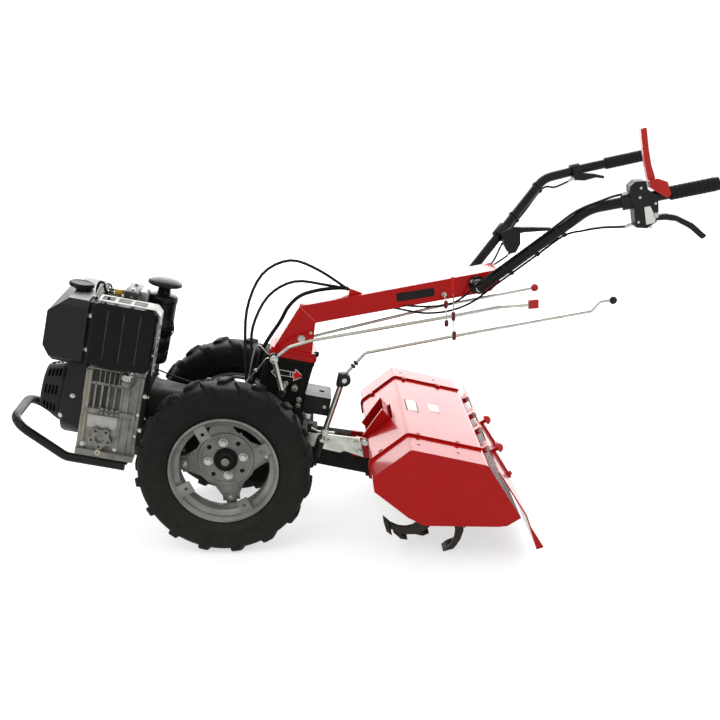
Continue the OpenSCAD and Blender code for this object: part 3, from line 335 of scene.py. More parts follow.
class Sketch:
    """A mesh under construction in the machine frame, in millimetres."""

    def __init__(self, machine: Machine) -> None:
        """Starts an empty mesh for that machine frame."""
        self.machine = machine
        self.bm = bmesh.new()

    def _rims(self, verts: list, sides: int) -> list:
        """Edges between a flat end and the wall of a round or many-sided bar."""
        edges = {e for v in verts for e in v.link_edges}
        return [e for e in edges if any(len(f.verts) == sides for f in e.link_faces)
                and len(e.link_faces) == 2 and not all(len(f.verts) == sides for f in e.link_faces)]

    def bevel(self, edges: list, width: float, segments: int = 2) -> list:
        """Rounds edges by a width in millimetres and returns the new faces."""
        return bmesh.ops.bevel(self.bm, geom=edges, offset=width, offset_type="OFFSET", affect="EDGES",
            segments=segments, profile=0.5, material=-1)["faces"]

    def bar(self, a: Point, b: Point, r: float, r2: float | None = None, sides: int = 24, edge: float = 0.0,
            segments: int = 2) -> None:
        """Adds a round or many-sided bar from a to b.

        Args:
            a: centre of the first end.
            b: centre of the second end.
            r: radius at the first end.
            r2: radius at the second end, if it differs.
            sides: number of sides.
            edge: rounding of the rims.
            segments: steps of the rounding.
        """
        p, q = Vector(a), Vector(b)
        turn = (q - p).to_track_quat("Z", "Y").to_matrix().to_4x4()
        made = bmesh.ops.create_cone(self.bm, cap_ends=True, cap_tris=False, segments=sides, radius1=r,
            radius2=r if r2 is None else r2, depth=(q - p).length,
            matrix=Matrix.Translation((p + q)/2) @ turn)
        if edge > 0.0:
            self.bevel(self._rims(made["verts"], sides), edge, segments)

    def block(self, lo: Point, hi: Point, edge: float = 0.0) -> None:
        """Adds a box between two opposite corners, with rounded edges."""
        verts = self._cube(lo, hi)
        if edge > 0.0:
            self.bevel(list({e for v in verts for e in v.link_edges}), edge)

    def _cube(self, lo: Point, hi: Point) -> list:
        """Adds a sharp box between two opposite corners and returns its vertices."""
        p, q = Vector(lo), Vector(hi)
        size = Matrix.Diagonal((*(abs(c) for c in q - p), 1.0))
        return bmesh.ops.create_cube(self.bm, size=1.0,
            matrix=Matrix.Translation((p + q)/2) @ size)["verts"]

    def plate(self, outline: Outline, y0: float, y1: float, edge: float = 0.0, corner: float = 0.0) -> None:
        """Adds an x-z outline as a plate.

        Args:
            outline: its corners.
            y0: station of its first face.
            y1: station of its second face.
            edge: rounding of the rims.
            corner: rounding of the outline's corners.
        """
        ring = [self.bm.verts.new((x, y0, z)) for x, z in outline]
        face = self.bm.faces.new(ring)
        grown = bmesh.ops.extrude_face_region(self.bm, geom=[face])["geom"]
        verts = ring + [v for v in grown if isinstance(v, bmesh.types.BMVert)]
        bmesh.ops.translate(self.bm, verts=verts[len(ring):], vec=(0.0, y1 - y0, 0.0))
        if corner > 0.0:
            posts = {e for v in ring for e in v.link_edges if abs(e.verts[0].co.y - e.verts[1].co.y) > TINY}
            start = self.bevel(list(posts), corner, 3)[0]
            verts = self._island(start.verts[0])
        if edge > 0.0:
            flat = {e for v in verts for e in v.link_edges if abs(e.verts[0].co.y - e.verts[1].co.y) < TINY}
            self.bevel([e for e in flat if any(len(f.verts) == 4 for f in e.link_faces)], edge)

    def pocket(self, lo: Point, hi: Point, wall: float, sink: float) -> None:
        """Adds a small block whose outer face is sunk inside a wall.

        Args:
            lo: corner at the foot.
            hi: opposite corner, on the outer face.
            wall: thickness of the wall.
            sink: depth of the hollow.
        """
        faces = {f for v in self._cube(lo, hi) for f in v.link_faces}
        front = min(faces, key=lambda f: abs(f.calc_center_median().y - hi[1]))
        bmesh.ops.recalc_face_normals(self.bm, faces=list(faces))
        bmesh.ops.inset_individual(self.bm, faces=[front], thickness=wall, depth=-sink)

    def lathe(self, p: Point, axis: Point, profile: Outline, steps: int = 48) -> None:
        """Adds a turned shape.

        Args:
            p: foot of its axis.
            axis: direction of its axis.
            profile: radius and height along the axis of each point; an open end is closed.
            steps: number of steps round the axis.
        """
        (r0, h0), (r1, h1) = profile[0], profile[-1]
        if r0 > 0.0 and r1 > 0.0 and (r0, h0) != (r1, h1):
            profile = [*profile, profile[0]]
        elif r0 > 0.0 and r1 == 0.0:
            profile = [(0.0, h0), *profile]
        elif r0 == 0.0 and r1 > 0.0:
            profile = [*profile, (0.0, h1)]
        line = [self.bm.verts.new((r, 0.0, h)) for r, h in profile]
        edges = [self.bm.edges.new(pair) for pair in zip(line, line[1:])]
        bmesh.ops.spin(self.bm, geom=line + edges, cent=(0, 0, 0), axis=UP, angle=2*math.pi, steps=steps,
            use_merge=True)
        made = self._island(line[0])
        bmesh.ops.remove_doubles(self.bm, verts=[v for v in made if math.hypot(v.co.x, v.co.y) < ON_AXIS],
            dist=MERGE)
        made = [v for v in made if v.is_valid]
        turn = Vector(axis).to_track_quat("Z", "Y").to_matrix().to_4x4()
        bmesh.ops.transform(self.bm, matrix=Matrix.Translation(p) @ turn, verts=made)

    def _island(self, start: bmesh.types.BMVert) -> list:
        """All vertices joined to start by edges."""
        seen, todo = {start}, [start]
        while todo:
            for e in todo.pop().link_edges:
                for v in e.verts:
                    if v not in seen:
                        seen.add(v)
                        todo.append(v)
        return list(seen)

    def loops(self, rings: list[list[Point]], closed: bool = False) -> list:
        """Bridges rings of points into one skin with flat ends, or into a closed ring.

        Args:
            rings: the points of each ring, all of one count.
            closed: joins the last ring to the first.

        Returns:
            The new faces.
        """
        made = []
        for points in rings:
            verts = [self.bm.verts.new(p) for p in points]
            made.append([self.bm.edges.new((verts[i - 1], verts[i])) for i in range(len(verts))])
        faces = []
        pairs = list(zip(made, made[1:])) + ([(made[-1], made[0])] if closed else [])
        for first, second in pairs:
            faces += bmesh.ops.bridge_loops(self.bm, edges=first + second)["faces"]
        if not closed:
            for ring in (made[0], made[-1]):
                faces += bmesh.ops.contextual_create(self.bm, geom=ring)["faces"]
        return faces

    def tube(self, points: list[Point], r: float, sides: int = 8, steps: int = 5) -> None:
        """Adds a round cable.

        Args:
            points: points that its smooth curve runs through.
            r: its radius.
            sides: number of sides.
            steps: steps between two points.
        """
        path = smooth_path([Vector(p) for p in points], steps)
        side = None
        rings = []
        for i, p in enumerate(path):
            ahead = (path[min(i + 1, len(path) - 1)] - path[max(i - 1, 0)]).normalized()
            if side is None:
                side = ahead.orthogonal().normalized()
            side = (side - ahead*side.dot(ahead)).normalized()
            up = ahead.cross(side)
            rings.append([tuple(p + r*(math.cos(a)*side + math.sin(a)*up))
                          for a in (2*math.pi*k/sides for k in range(sides))])
        self.loops(rings)

    def bolt(self, p: Point, axis: Point, d: float, tall: float = 0.6, washer: bool = True) -> None:
        """Adds a hexagon head with its washer.

        Args:
            p: seat of the head.
            axis: direction that the head faces.
            d: thread diameter.
            tall: head height as a share of the diameter.
            washer: adds a washer under the head.
        """
        n = d*Vector(axis).normalized()
        seat = Vector(p)
        if washer:
            self.bar(seat - WASHER_SINK*n, seat + WASHER_TOP*n, WASHER_R*d, sides=14)
        self.bar(seat, seat + (HEX_LIFT + tall)*n, HEX_R*d, sides=6, edge=HEX_EDGE*d, segments=1)
        self.bar(seat, seat + (THREAD_LIFT + tall)*n, THREAD_R*d, sides=8)

    def piece(self, name: str, finish: Finish, body: Body = Body.CHASSIS,
            sharp: float = 34.0) -> bpy.types.Object:
        """Turns the sketch into a piece of the scene and starts an empty one.

        Args:
            name: name of the piece.
            finish: its surface.
            body: body that it rides on.
            sharp: edges over this angle, in degrees, stay sharp.

        Returns:
            The new object.
        """
        bmesh.ops.recalc_face_normals(self.bm, faces=self.bm.faces[:])
        mesh = bpy.data.meshes.new(name)
        self.bm.to_mesh(mesh)
        self.bm.free()
        self.bm = bmesh.new()
        mesh.transform(self.machine.matrix)
        mesh.shade_smooth()
        mesh.set_sharp_from_angle(angle=math.radians(sharp))
        mesh.materials.append(finish.material())
        made = bpy.data.objects.new(name, mesh)
        bpy.context.scene.collection.objects.link(made)
        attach(made, body.value)
        log.info("%s: %d faces on %s", name, len(mesh.polygons), body.value)
        return made


def smooth_path(points: list[Vector], steps: int) -> list[Vector]:
    """Runs a smooth curve through points.

    Args:
        points: the points in order.
        steps: steps between two points.

    Returns:
        Points along the curve.
    """
    last = len(points) - 1
    path = []
    for i in range(last):
        a, b, c, d = points[max(i - 1, 0)], points[i], points[i + 1], points[min(i + 2, last)]
        for k in range(steps):
            t = k/steps
            path.append(0.5*(2*b + (c - a)*t + (2*a - 5*b + 4*c - d)*t*t + (3*b - a - 3*c + d)*t**3))
    return path + [points[last]]


def polar(r: float, degrees: float) -> tuple[float, float]:
    """A point of the x-z plane at that radius and angle."""
    return r*math.cos(math.radians(degrees)), r*math.sin(math.radians(degrees))


# Sub-assemblies

@dataclass
class Wheel:
    """Tyre with chevron lugs and the fasteners of one wheel; the outside faces side."""

    machine: Machine
    side: int
    wheel_r: float = 265.0
    lug_h: float = 10.0
    lug_lead: float = 2.0
    lug_sweep: float = 26.0
    tyre_w: float = 130.0
    rim_d: float = 325.0
    rim_w: float = 104.0
    track: float = 450.0
    lug_count: int = 16
    nut_r: float = 53.0
    ear_bolt_r: float = 126.0
    ear_turn: float = 17.5

    @property
    def label(self) -> str:
        """left or right."""
        return "left" if self.side < 0 else "right"

    @property
    def body(self) -> Body:
        """The body that the wheel is."""
        return Body.WHEEL_LEFT if self.side < 0 else Body.WHEEL_RIGHT

    def out(self, y: float) -> float:
        """Machine y of a station measured outwards from the tyre's middle."""
        return self.side*(self.track/2 + y)

    def build(self) -> None:
        """Builds the tyre, the fasteners, the hub's rings and the ears' roots."""
        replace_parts(self.tyre(), f"tyre_{self.label}")
        self.nuts()
        self.hub_rings()
        self.gussets()

    def gussets(self) -> None:
        """Adds the flared roots that join the disc's ears to its round edge, and the hub's end nut."""
        sketch = Sketch(self.machine)
        foot = self.out(-self.rim_w/2)
        low, high = sorted((foot + 0.5*self.side, foot + 5.5*self.side))
        shape = [(80, -46), (98, -36), (116, -27), (116, 27), (98, 36), (80, 46)]
        for i in range(4):
            c, s = polar(1.0, 90*i + self.ear_turn)
            sketch.plate([(r*c - t*s, r*s + t*c) for r, t in shape], low, high, edge=0.6)
        sketch.lathe((0, self.out(-self.rim_w/2 + 31), 0), (0, self.side, 0),
            [(0, 0), (12.4, 0), (12.4, 1.6), (10, 3), (6, 3), (4.6, 1.8), (0, 1.8)], steps=32)
        sketch.piece(f"ear_roots_{self.label}", RIM_PAINT, self.body)

    def tyre(self) -> bpy.types.Object:
        """Builds the tyre body and its lugs as one piece."""
        sketch = Sketch(self.machine)
        w = self.tyre_w/2
        c = self.wheel_r - self.lug_h
        b = self.rim_d/2 - 9
        half = [(b, 44), (b + 11, 45), (b + 20, 52), (b + 33, w - 6), (b + 35, w - 4.2), (b + 37, w - 4.6),
            (b + 50, w - 3), (c - 30, w - 2.4), (c - 17, w - 5), (c - 7, w - 13), (c - 2, w - 26),
            (c, w - 44)]
        rim = half + [(r, -y) for r, y in reversed(half)]
        sketch.lathe((0, self.out(0), 0), (0, self.side, 0), rim + [rim[0]], steps=96)
        edges = []
        for i in range(self.lug_count):
            for way in (1, -1):
                edges += self.lug(sketch, -360.0*(i + (0.5 if way < 0 else 0.0))/self.lug_count, way)
        sketch.bevel(edges, 2.6, 2)
        return sketch.piece(f"tread_{self.label}", TYRE, self.body, sharp=50.0)

    def lug(self, sketch: Sketch, turn: float, way: int) -> list:
        """Adds one lug that runs from the tread's middle over the shoulder.

        Args:
            sketch: mesh that takes the lug.
            turn: its place round the tyre, in degrees.
            way: 1 for the outer half of the tread and -1 for the inner half.

        Returns:
            The edges to round.
        """
        w = self.tyre_w/2
        c = self.wheel_r - self.lug_h
        stations = [(-4.0, c - 6, self.wheel_r, 13.0), (14.0, c - 6, self.wheel_r, 13.5),
            (34.0, c - 8, self.wheel_r - 0.6, 14.5), (50.0, c - 15, self.wheel_r - 4, 15.5),
            (59.0, c - 26, self.wheel_r - 12, 15.0), (w - 1.0, c - 40, self.wheel_r - 33, 12.0)]
        rings = []
        for y, low, high, half in stations:
            mid = self.lug_lead - self.lug_sweep*(y + 4.0)/(w + 5.0)
            ring = []
            for r, t in ((low, mid - half - 3), (high, mid - half + 2), (high, mid + half - 2),
                    (low, mid + half + 3)):
                x, z = polar(r, turn + math.degrees(t/c))
                ring.append((x, self.out(way*y), z))
            rings.append(ring)
        faces = sketch.loops(rings)
        return list({e for f in faces for e in f.edges})

    def nuts(self) -> None:
        """Adds the wheel nuts and the bolts of the disc's ears."""
        sketch = Sketch(self.machine)
        out = (0, self.side, 0)
        face = self.out(-self.rim_w/2 + 6)
        for i in range(4):
            x, z = polar(self.nut_r, 90*i + self.ear_turn)
            sketch.bolt((x, face, z), out, 12.0, tall=0.75)
            x, z = polar(self.ear_bolt_r, 90*i + self.ear_turn)
            sketch.bolt((x, self.out(-self.rim_w/2 + 12), z), out, 9.0)
        sketch.piece(f"wheel_nuts_{self.label}", ZINC, self.body)

    def hub_rings(self) -> None:
        """Adds the stepped seal and cap round the hub nut."""
        sketch = Sketch(self.machine)
        foot = self.out(-self.rim_w/2 + 5)
        sketch.lathe((0, foot, 0), (0, self.side, 0), [(30.2, 0), (36, 0), (36, 9), (33, 12), (31, 12),
            (30.2, 15)])
        sketch.lathe((0, self.out(-self.rim_w/2 + 20.5), 0), (0, self.side, 0),
            [(18, 0), (27, 0), (27, 3), (24, 5), (22, 3), (18, 3), (18, 0)])
        sketch.piece(f"hub_rings_{self.label}", BLACK_PAINT, self.body)


@dataclass
class EngineDress:
    """Air filter, caps, covers, bare plate, fins, pipes and fasteners of the engine."""

    machine: Machine
    wall: float = -110.0
    flange: float = -115.0
    ledge: float = -119.0
    cap: Point = (-329.0, -124.0, 154.0)
    fins: tuple[float, ...] = (-412.0, -397.5, -383.0, -368.5, -354.0)
    cells: tuple[float, ...] = (-401.0, -386.0, -370.0, -355.0)
    gaps: tuple[float, ...] = (-418.0, -398.0, -378.0, -358.0)
    filter_foot: Point = (-281.0, 60.0, 190.0)
    filler: Point = (-522.0, 0.0, 402.0)
    cap_ribs: int = 28
    oil_ribs: int = 18
    shade_rise: float = 1.2
    crank: tuple[float, float] = (-520.0, 62.0)

    def build(self) -> None:
        """Builds all the engine's small pieces."""
        self.case_plate()
        self.case_relief()
        self.oil_filler()
        self.fasteners()
        self.fuel_lines()
        self.intake_box()
        self.muffler_seams()
        self.filler_cap()
        self.air_filter()
        self.rocker_cover()
        self.fan_liner()

    def air_filter(self) -> None:
        """Oil-bath filter: rounded bowl, clamp band with latches, ribbed can, neck and flat cap."""
        sketch = Sketch(self.machine)
        x, y, z = self.filter_foot
        sketch.lathe(self.filter_foot, UP, [(0, 0), (32, 0), (37, 1.5), (39.4, 6), (41, 14), (41.8, 34),
            (40.4, 36), (40.6, 40), (42, 42), (43.2, 84), (41.8, 86), (42, 90), (43.4, 92), (44, 108),
            (45.6, 110), (46, 112), (46, 118), (44.2, 119.4), (44.2, 122), (46, 123.4), (46, 128),
            (45, 130), (44.4, 131), (44.4, 160), (43.4, 161), (43.4, 163), (44.4, 164), (44.4, 196),
            (46, 197.4), (46.4, 199), (46.4, 211), (44.6, 216), (40, 219.4), (30, 221), (22, 221.6),
            (20.4, 223), (19.6, 240), (22, 244), (46, 249), (52, 250.4), (53, 251.6), (53, 258.4),
            (52, 260), (42, 264.6), (28, 268), (14, 269.6), (0, 270)], steps=72)
        for a in (-24, 130):
            c, s = polar(1.0, a)
            for h0, h1, r in ((94, 108, 44), (111, 129, 46), (131, 146, 44.4)):
                p = (x + r*c, y + r*s, z + h0)
                sketch.bar(p, (p[0], p[1], z + h1), 5.4, sides=12, edge=1.4)
            sketch.tube([(x + 46*c, y + 46*s, z + 98), (x + 53*c, y + 53*s, z + 108),
                (x + 52.6*c, y + 52.6*s, z + 126), (x + 46*c, y + 46*s, z + 144)], 1.8)
        sketch.bar((x - 55, y, z + 150), (x - 15, y, z + 150), 15, sides=32, edge=1.0)
        sketch.lathe((x - 52, y, z + 150), REAR, [(15, 0), (18, 0.6), (18, 8.4), (15, 9)], steps=32)
        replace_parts(sketch.piece("filter_can", BLACK_PAINT, sharp=38.0), "air_filter")

    def rocker_cover(self) -> None:
        """Painted cover over the rocker box with a raised rim."""
        sketch = Sketch(self.machine)
        sketch.plate([(-387, 374), (-387, 427), (-343, 427), (-343, 374)], -57.4, 61.4, edge=1.6,
            corner=7.0)
        sketch.block((-390, -60, 374), (-338, 64, 379), 1.4)
        sketch.piece("rocker_cover", ROCKER_GREY)

    def fan_liner(self) -> None:
        """Dark liner behind the slots of the recoil cover, cut to its slanted underside."""
        sketch = Sketch(self.machine)
        x, z = self.crank
        sketch.lathe((x - 0.5, 0, z), FRONT, [(0, 1), (88, 1), (88, 9), (74, 58), (68, 60), (0, 60)],
            steps=64)
        cut = bmesh.ops.bisect_plane(sketch.bm,
            geom=sketch.bm.verts[:] + sketch.bm.edges[:] + sketch.bm.faces[:], plane_co=(x - 88, 0, z - 2),
            plane_no=(-0.605, 0, -0.796), clear_outer=True)
        rim = [e for e in cut["geom_cut"] if isinstance(e, bmesh.types.BMEdge)]
        bmesh.ops.holes_fill(sketch.bm, edges=rim)
        sketch.piece("fan_liner", SOOT_STEEL)

    def case_plate(self) -> None:
        """Bare plate with four rivets on the side wall, and the plug of the foot rail."""
        sketch = Sketch(self.machine)
        sketch.plate([(-435, 2), (-435, 41), (-343, 44), (-343, 4)], self.wall + 1, self.wall - 2.2,
            edge=0.5, corner=3.0)
        for x, z in ((-430, 7), (-430, 36), (-348, 9), (-348, 39)):
            sketch.lathe((x, self.wall - 2, z), LEFT, [(0, 1.6), (1.6, 1.2), (2.4, 0)], steps=12)
        sketch.piece("case_plate", BARE_PLATE)
        sketch.lathe((-387, -124, -73), LEFT, [(4, 0), (4, 3.5), (7, 4), (9.4, 2.8), (9.8, 0)], steps=28)
        sketch.piece("foot_plug", CREAM_PLUG)

    def case_relief(self) -> None:
        """Cooling fins and sunk cells of the side walls, dark plates of painted shade in the hollows between the
        ribs and behind the fins, a dark line at the flange's edge, and the flange's pale bands.
        """
        grey, dark, mid, band = (Sketch(self.machine) for _ in range(4))
        for side in (1, -1):
            y = side*self.wall
            for x in self.fins:
                grey.block((x - 1.7, y, 146), (x + 1.7, y - 7*side, 187), 0.8)
            for x in self.cells:
                grey.pocket((x, side*self.ledge, 49), (x + 13, side*(self.ledge - 4), 60), 1.8, 2.4)
                grey.pocket((x + 1, side*self.ledge, 63.5), (x + 12, side*(self.ledge - 3), 72), 1.6, 1.8)
            # Painted shade: dark plates behind the fins and in the first rib gaps, a lighter half tone of painted
            # shade in the next gaps.
            dark.block((-435, y, 148), (-349, y - self.shade_rise*side, 186))
            dark.block((-434, y, 68), (-424, y - self.shade_rise*side, 139))
            for x in self.gaps[:2]:
                dark.block((x, y, 67), (x + 14, y - self.shade_rise*side, 139))
            for x in self.gaps[2:]:
                mid.block((x, y, 67), (x + 14, y - self.shade_rise*side, 139))
            edge = side*self.flange
            dark.block((-292, edge, -66), (-290.5, edge - 0.5*side, 182))
            for x0, x1 in ((-455, -447.4), (-445.8, -437)):
                band.block((x0, edge, -67), (x1, edge - 1.4*side, 182), 0.5)
        grey.piece("case_fins", CAST_GREY)
        dark.piece("painted_shade_hollows", CASE_SHADE)
        mid.piece("painted_shade_gaps", PAINTED_HALF_SHADE)
        band.piece("case_band", CASE_BAND)

    def oil_filler(self) -> None:
        """Bright oil cap on its cast neck."""
        sketch = Sketch(self.machine)
        sketch.lathe(self.cap, UP, [(0, 0), (17, 0), (20, 3), (20, 16), (16, 19), (0, 19)])
        sketch.piece("oil_neck", CAST_GREY)
        x, y, z = self.cap
        sketch.lathe((x, y, z + 18), UP, [(0, 0), (17, 0), (18.5, 2), (18.5, 17), (16.5, 21), (10, 23),
            (0, 23.5)])
        for i in range(self.oil_ribs):
            a, b = polar(18.4, 360*i/self.oil_ribs)
            sketch.bar((x + a, y + b, z + 21), (x + a, y + b, z + 34), 1.5, sides=8)
        sketch.piece("oil_cap", ZINC)

    def fasteners(self) -> None:
        """Bolts of the crankcase, shroud, guard, rocker cover and engine feet."""
        sketch = Sketch(self.machine)
        for side in (1, -1):
            out = (0, -side, 0)
            for x, z, d in ((-437, -52, 9), (-339, -57, 6)):
                sketch.bolt((x, side*-113, z), out, d, tall=1.2)
            for x, y, z, d in ((-272, -124, 22, 6), (-272, -124, 132, 6), (-285, self.flange, -3, 5),
                    (-285, self.flange, 67, 5), (-485, -118, 92, 7), (-514, -112, 24, 7),
                    (-462.5, -130, 353, 6), (-462.5, -130, 248, 6)):
                sketch.bolt((x, side*y, z), out, d)
            for x in (-427, -309):
                sketch.bolt((x, side*60, -98), DOWN, 9)
        for z in (388, 345, 262, 244):
            sketch.bolt((-254, -202, z), REAR, 6)
        sketch.bolt((-364, -57.4, 408), LEFT, 6)
        for y in (-34, 38):
            sketch.bolt((-364, y, 427), UP, 7)
        sketch.bolt((-426, -40, 413), UP, 9, tall=1.1)
        sketch.piece("engine_bolts", ZINC)

    def fuel_lines(self) -> None:
        """Injector pipe, return hose and wires round the head."""
        sketch = Sketch(self.machine)
        sketch.tube([(-426, -40, 420), (-430, -44, 434), (-442, -54, 439), (-455, -64, 430),
            (-461, -74, 410), (-462, -80, 392)], 3.2)
        sketch.bar((-462, -80, 392), (-462, -79, 402), 6.5, sides=6, edge=0.6)
        sketch.piece("injector_pipe", ZINC)
        sketch.tube([(-464, -56, 392), (-466, -56, 420), (-461, -57, 438), (-449, -58, 438),
            (-444, -58, 425), (-436, -56, 408), (-428, -54, 394)], 4.2)
        sketch.tube([(-447, -58, 394), (-439, -62, 411), (-426, -63, 416), (-412, -63, 410),
            (-403, -62, 394)], 2.4)
        sketch.tube([(-270, -64, 186), (-266, -68, 200), (-249, -70, 205), (-218, -70, 198),
            (-174, -70, 189), (-121, -66, 180), (-92, -60, 164), (-84, -58, 150)], 2.6)
        sketch.piece("engine_hoses", RUBBER)

    def intake_box(self) -> None:
        """Pale intake box between the rocker cover and the air filter."""
        sketch = Sketch(self.machine)
        sketch.block((-345, -18, 377), (-319, 40, 424), 4.0)
        sketch.block((-322, 44, 330), (-312, 78, 352), 2.0)
        sketch.piece("intake_box", BARE_PLATE)

    def muffler_seams(self) -> None:
        """Pressed seams in the muffler's grooves, in a grey lighter than the muffler as a painted highlight along
        each seam.
        """
        sketch = Sketch(self.machine)
        for x in (-402.5, -356.0, -309.5):
            sketch.bar((x, -213.4, 250), (x, -213.4, 402), 2.7, sides=12, edge=1.0)
        # Painted highlight: the seams take a grey lighter than the soot-black muffler.
        sketch.piece("muffler_seams", CASE_SHADE)

    def filler_cap(self) -> None:
        """Flat fuel cap with a ribbed rim and a raised ring."""
        sketch = Sketch(self.machine)
        x, y, z = self.filler
        sketch.lathe(self.filler, UP, [(0, 0), (35.4, 0), (36.4, 0.8), (36.4, 10.4), (35, 12.2), (31, 13),
            (27.4, 12.8), (25.6, 11.8), (10, 12.2), (0, 12.4)])
        for i in range(self.cap_ribs):
            c, s = polar(36.2, 360*i/self.cap_ribs)
            sketch.bar((x + c, y + s, z + 0.8), (x + c, y + s, z + 10.6), 1.7, sides=6)
        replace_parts(sketch.piece("filler_cap", BLACK_PLASTIC), "fuel_cap")


@dataclass
class DriveDress:
    """Clutch bell, and the fasteners of the gearbox and the tow bracket."""

    machine: Machine
    flange_y: float = 92.0
    bolt_r: float = 60.0

    def build(self) -> None:
        """Builds the bolts, the plugs and the clutch bell."""
        sketch = Sketch(self.machine)
        for side in (-1, 1):
            for i in range(6):
                x, z = polar(self.bolt_r, 60*i)
                sketch.bolt((x, side*self.flange_y, z), (0, side, 0), 9)
            for x in (-98, -50, 0):
                sketch.bolt((x, side*47, 164), UP, 8)
            for x, y in ((58, 58), (128, 59), (190, 58)):
                sketch.bolt((x, side*y, 163), UP, 6)
            for z in (-10, 60, 129):
                sketch.bolt((-264, side*119.4, z), REAR, 5, washer=False)
        sketch.bolt((30, -40, -96), DOWN, 14)
        sketch.bolt((-40, 30, -96), DOWN, 10)
        sketch.bolt((270, -60, 178), LEFT, 5)
        sketch.block((206, -72, 127), (232, -67, 151), 1.2)
        sketch.piece("gearbox_bolts", ZINC)
        self.bell()

    def bell(self) -> None:
        """Clutch bell: a square flange on the engine and a rounded body that narrows to the gearbox."""
        sketch = Sketch(self.machine)
        flange = ((-280, 0), (-266.5, 0), (-264, 2.5))
        sketch.loops([self.ring(x, 124 - s, -62 + s, 187 - s, 52) for x, s in flange])
        body = [(-266, 112, -50, 150, 60), (-262, 106, -47, 143, 60), (-250, 102, -45, 139, 60),
            (-170, 92, -48, 138, 62), (-144, 86, -48, 139, 54), (-140, 88, -50, 142, 50),
            (-130, 88, -50, 142, 50)]
        sketch.loops([self.ring(*station) for station in body])
        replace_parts(sketch.piece("clutch_bell", CAST_DARK), "clutch_housing")

    def ring(self, x: float, half: float, low: float, high: float, r: float) -> list[Point]:
        """Rounded rectangle across the machine.

        Args:
            x: its station.
            half: half its width.
            low: its lowest height.
            high: its top height.
            r: radius of its corners.

        Returns:
            The points of one ring.
        """
        ring = []
        for y, z, start in ((half - r, high - r, 0), (r - half, high - r, 90), (r - half, low + r, 180),
                (half - r, low + r, 270)):
            for i in range(CORNER_STEPS + 1):
                c, s = polar(r, start + 90*i/CORNER_STEPS)
                ring.append((x, y + c, z + s))
        return ring


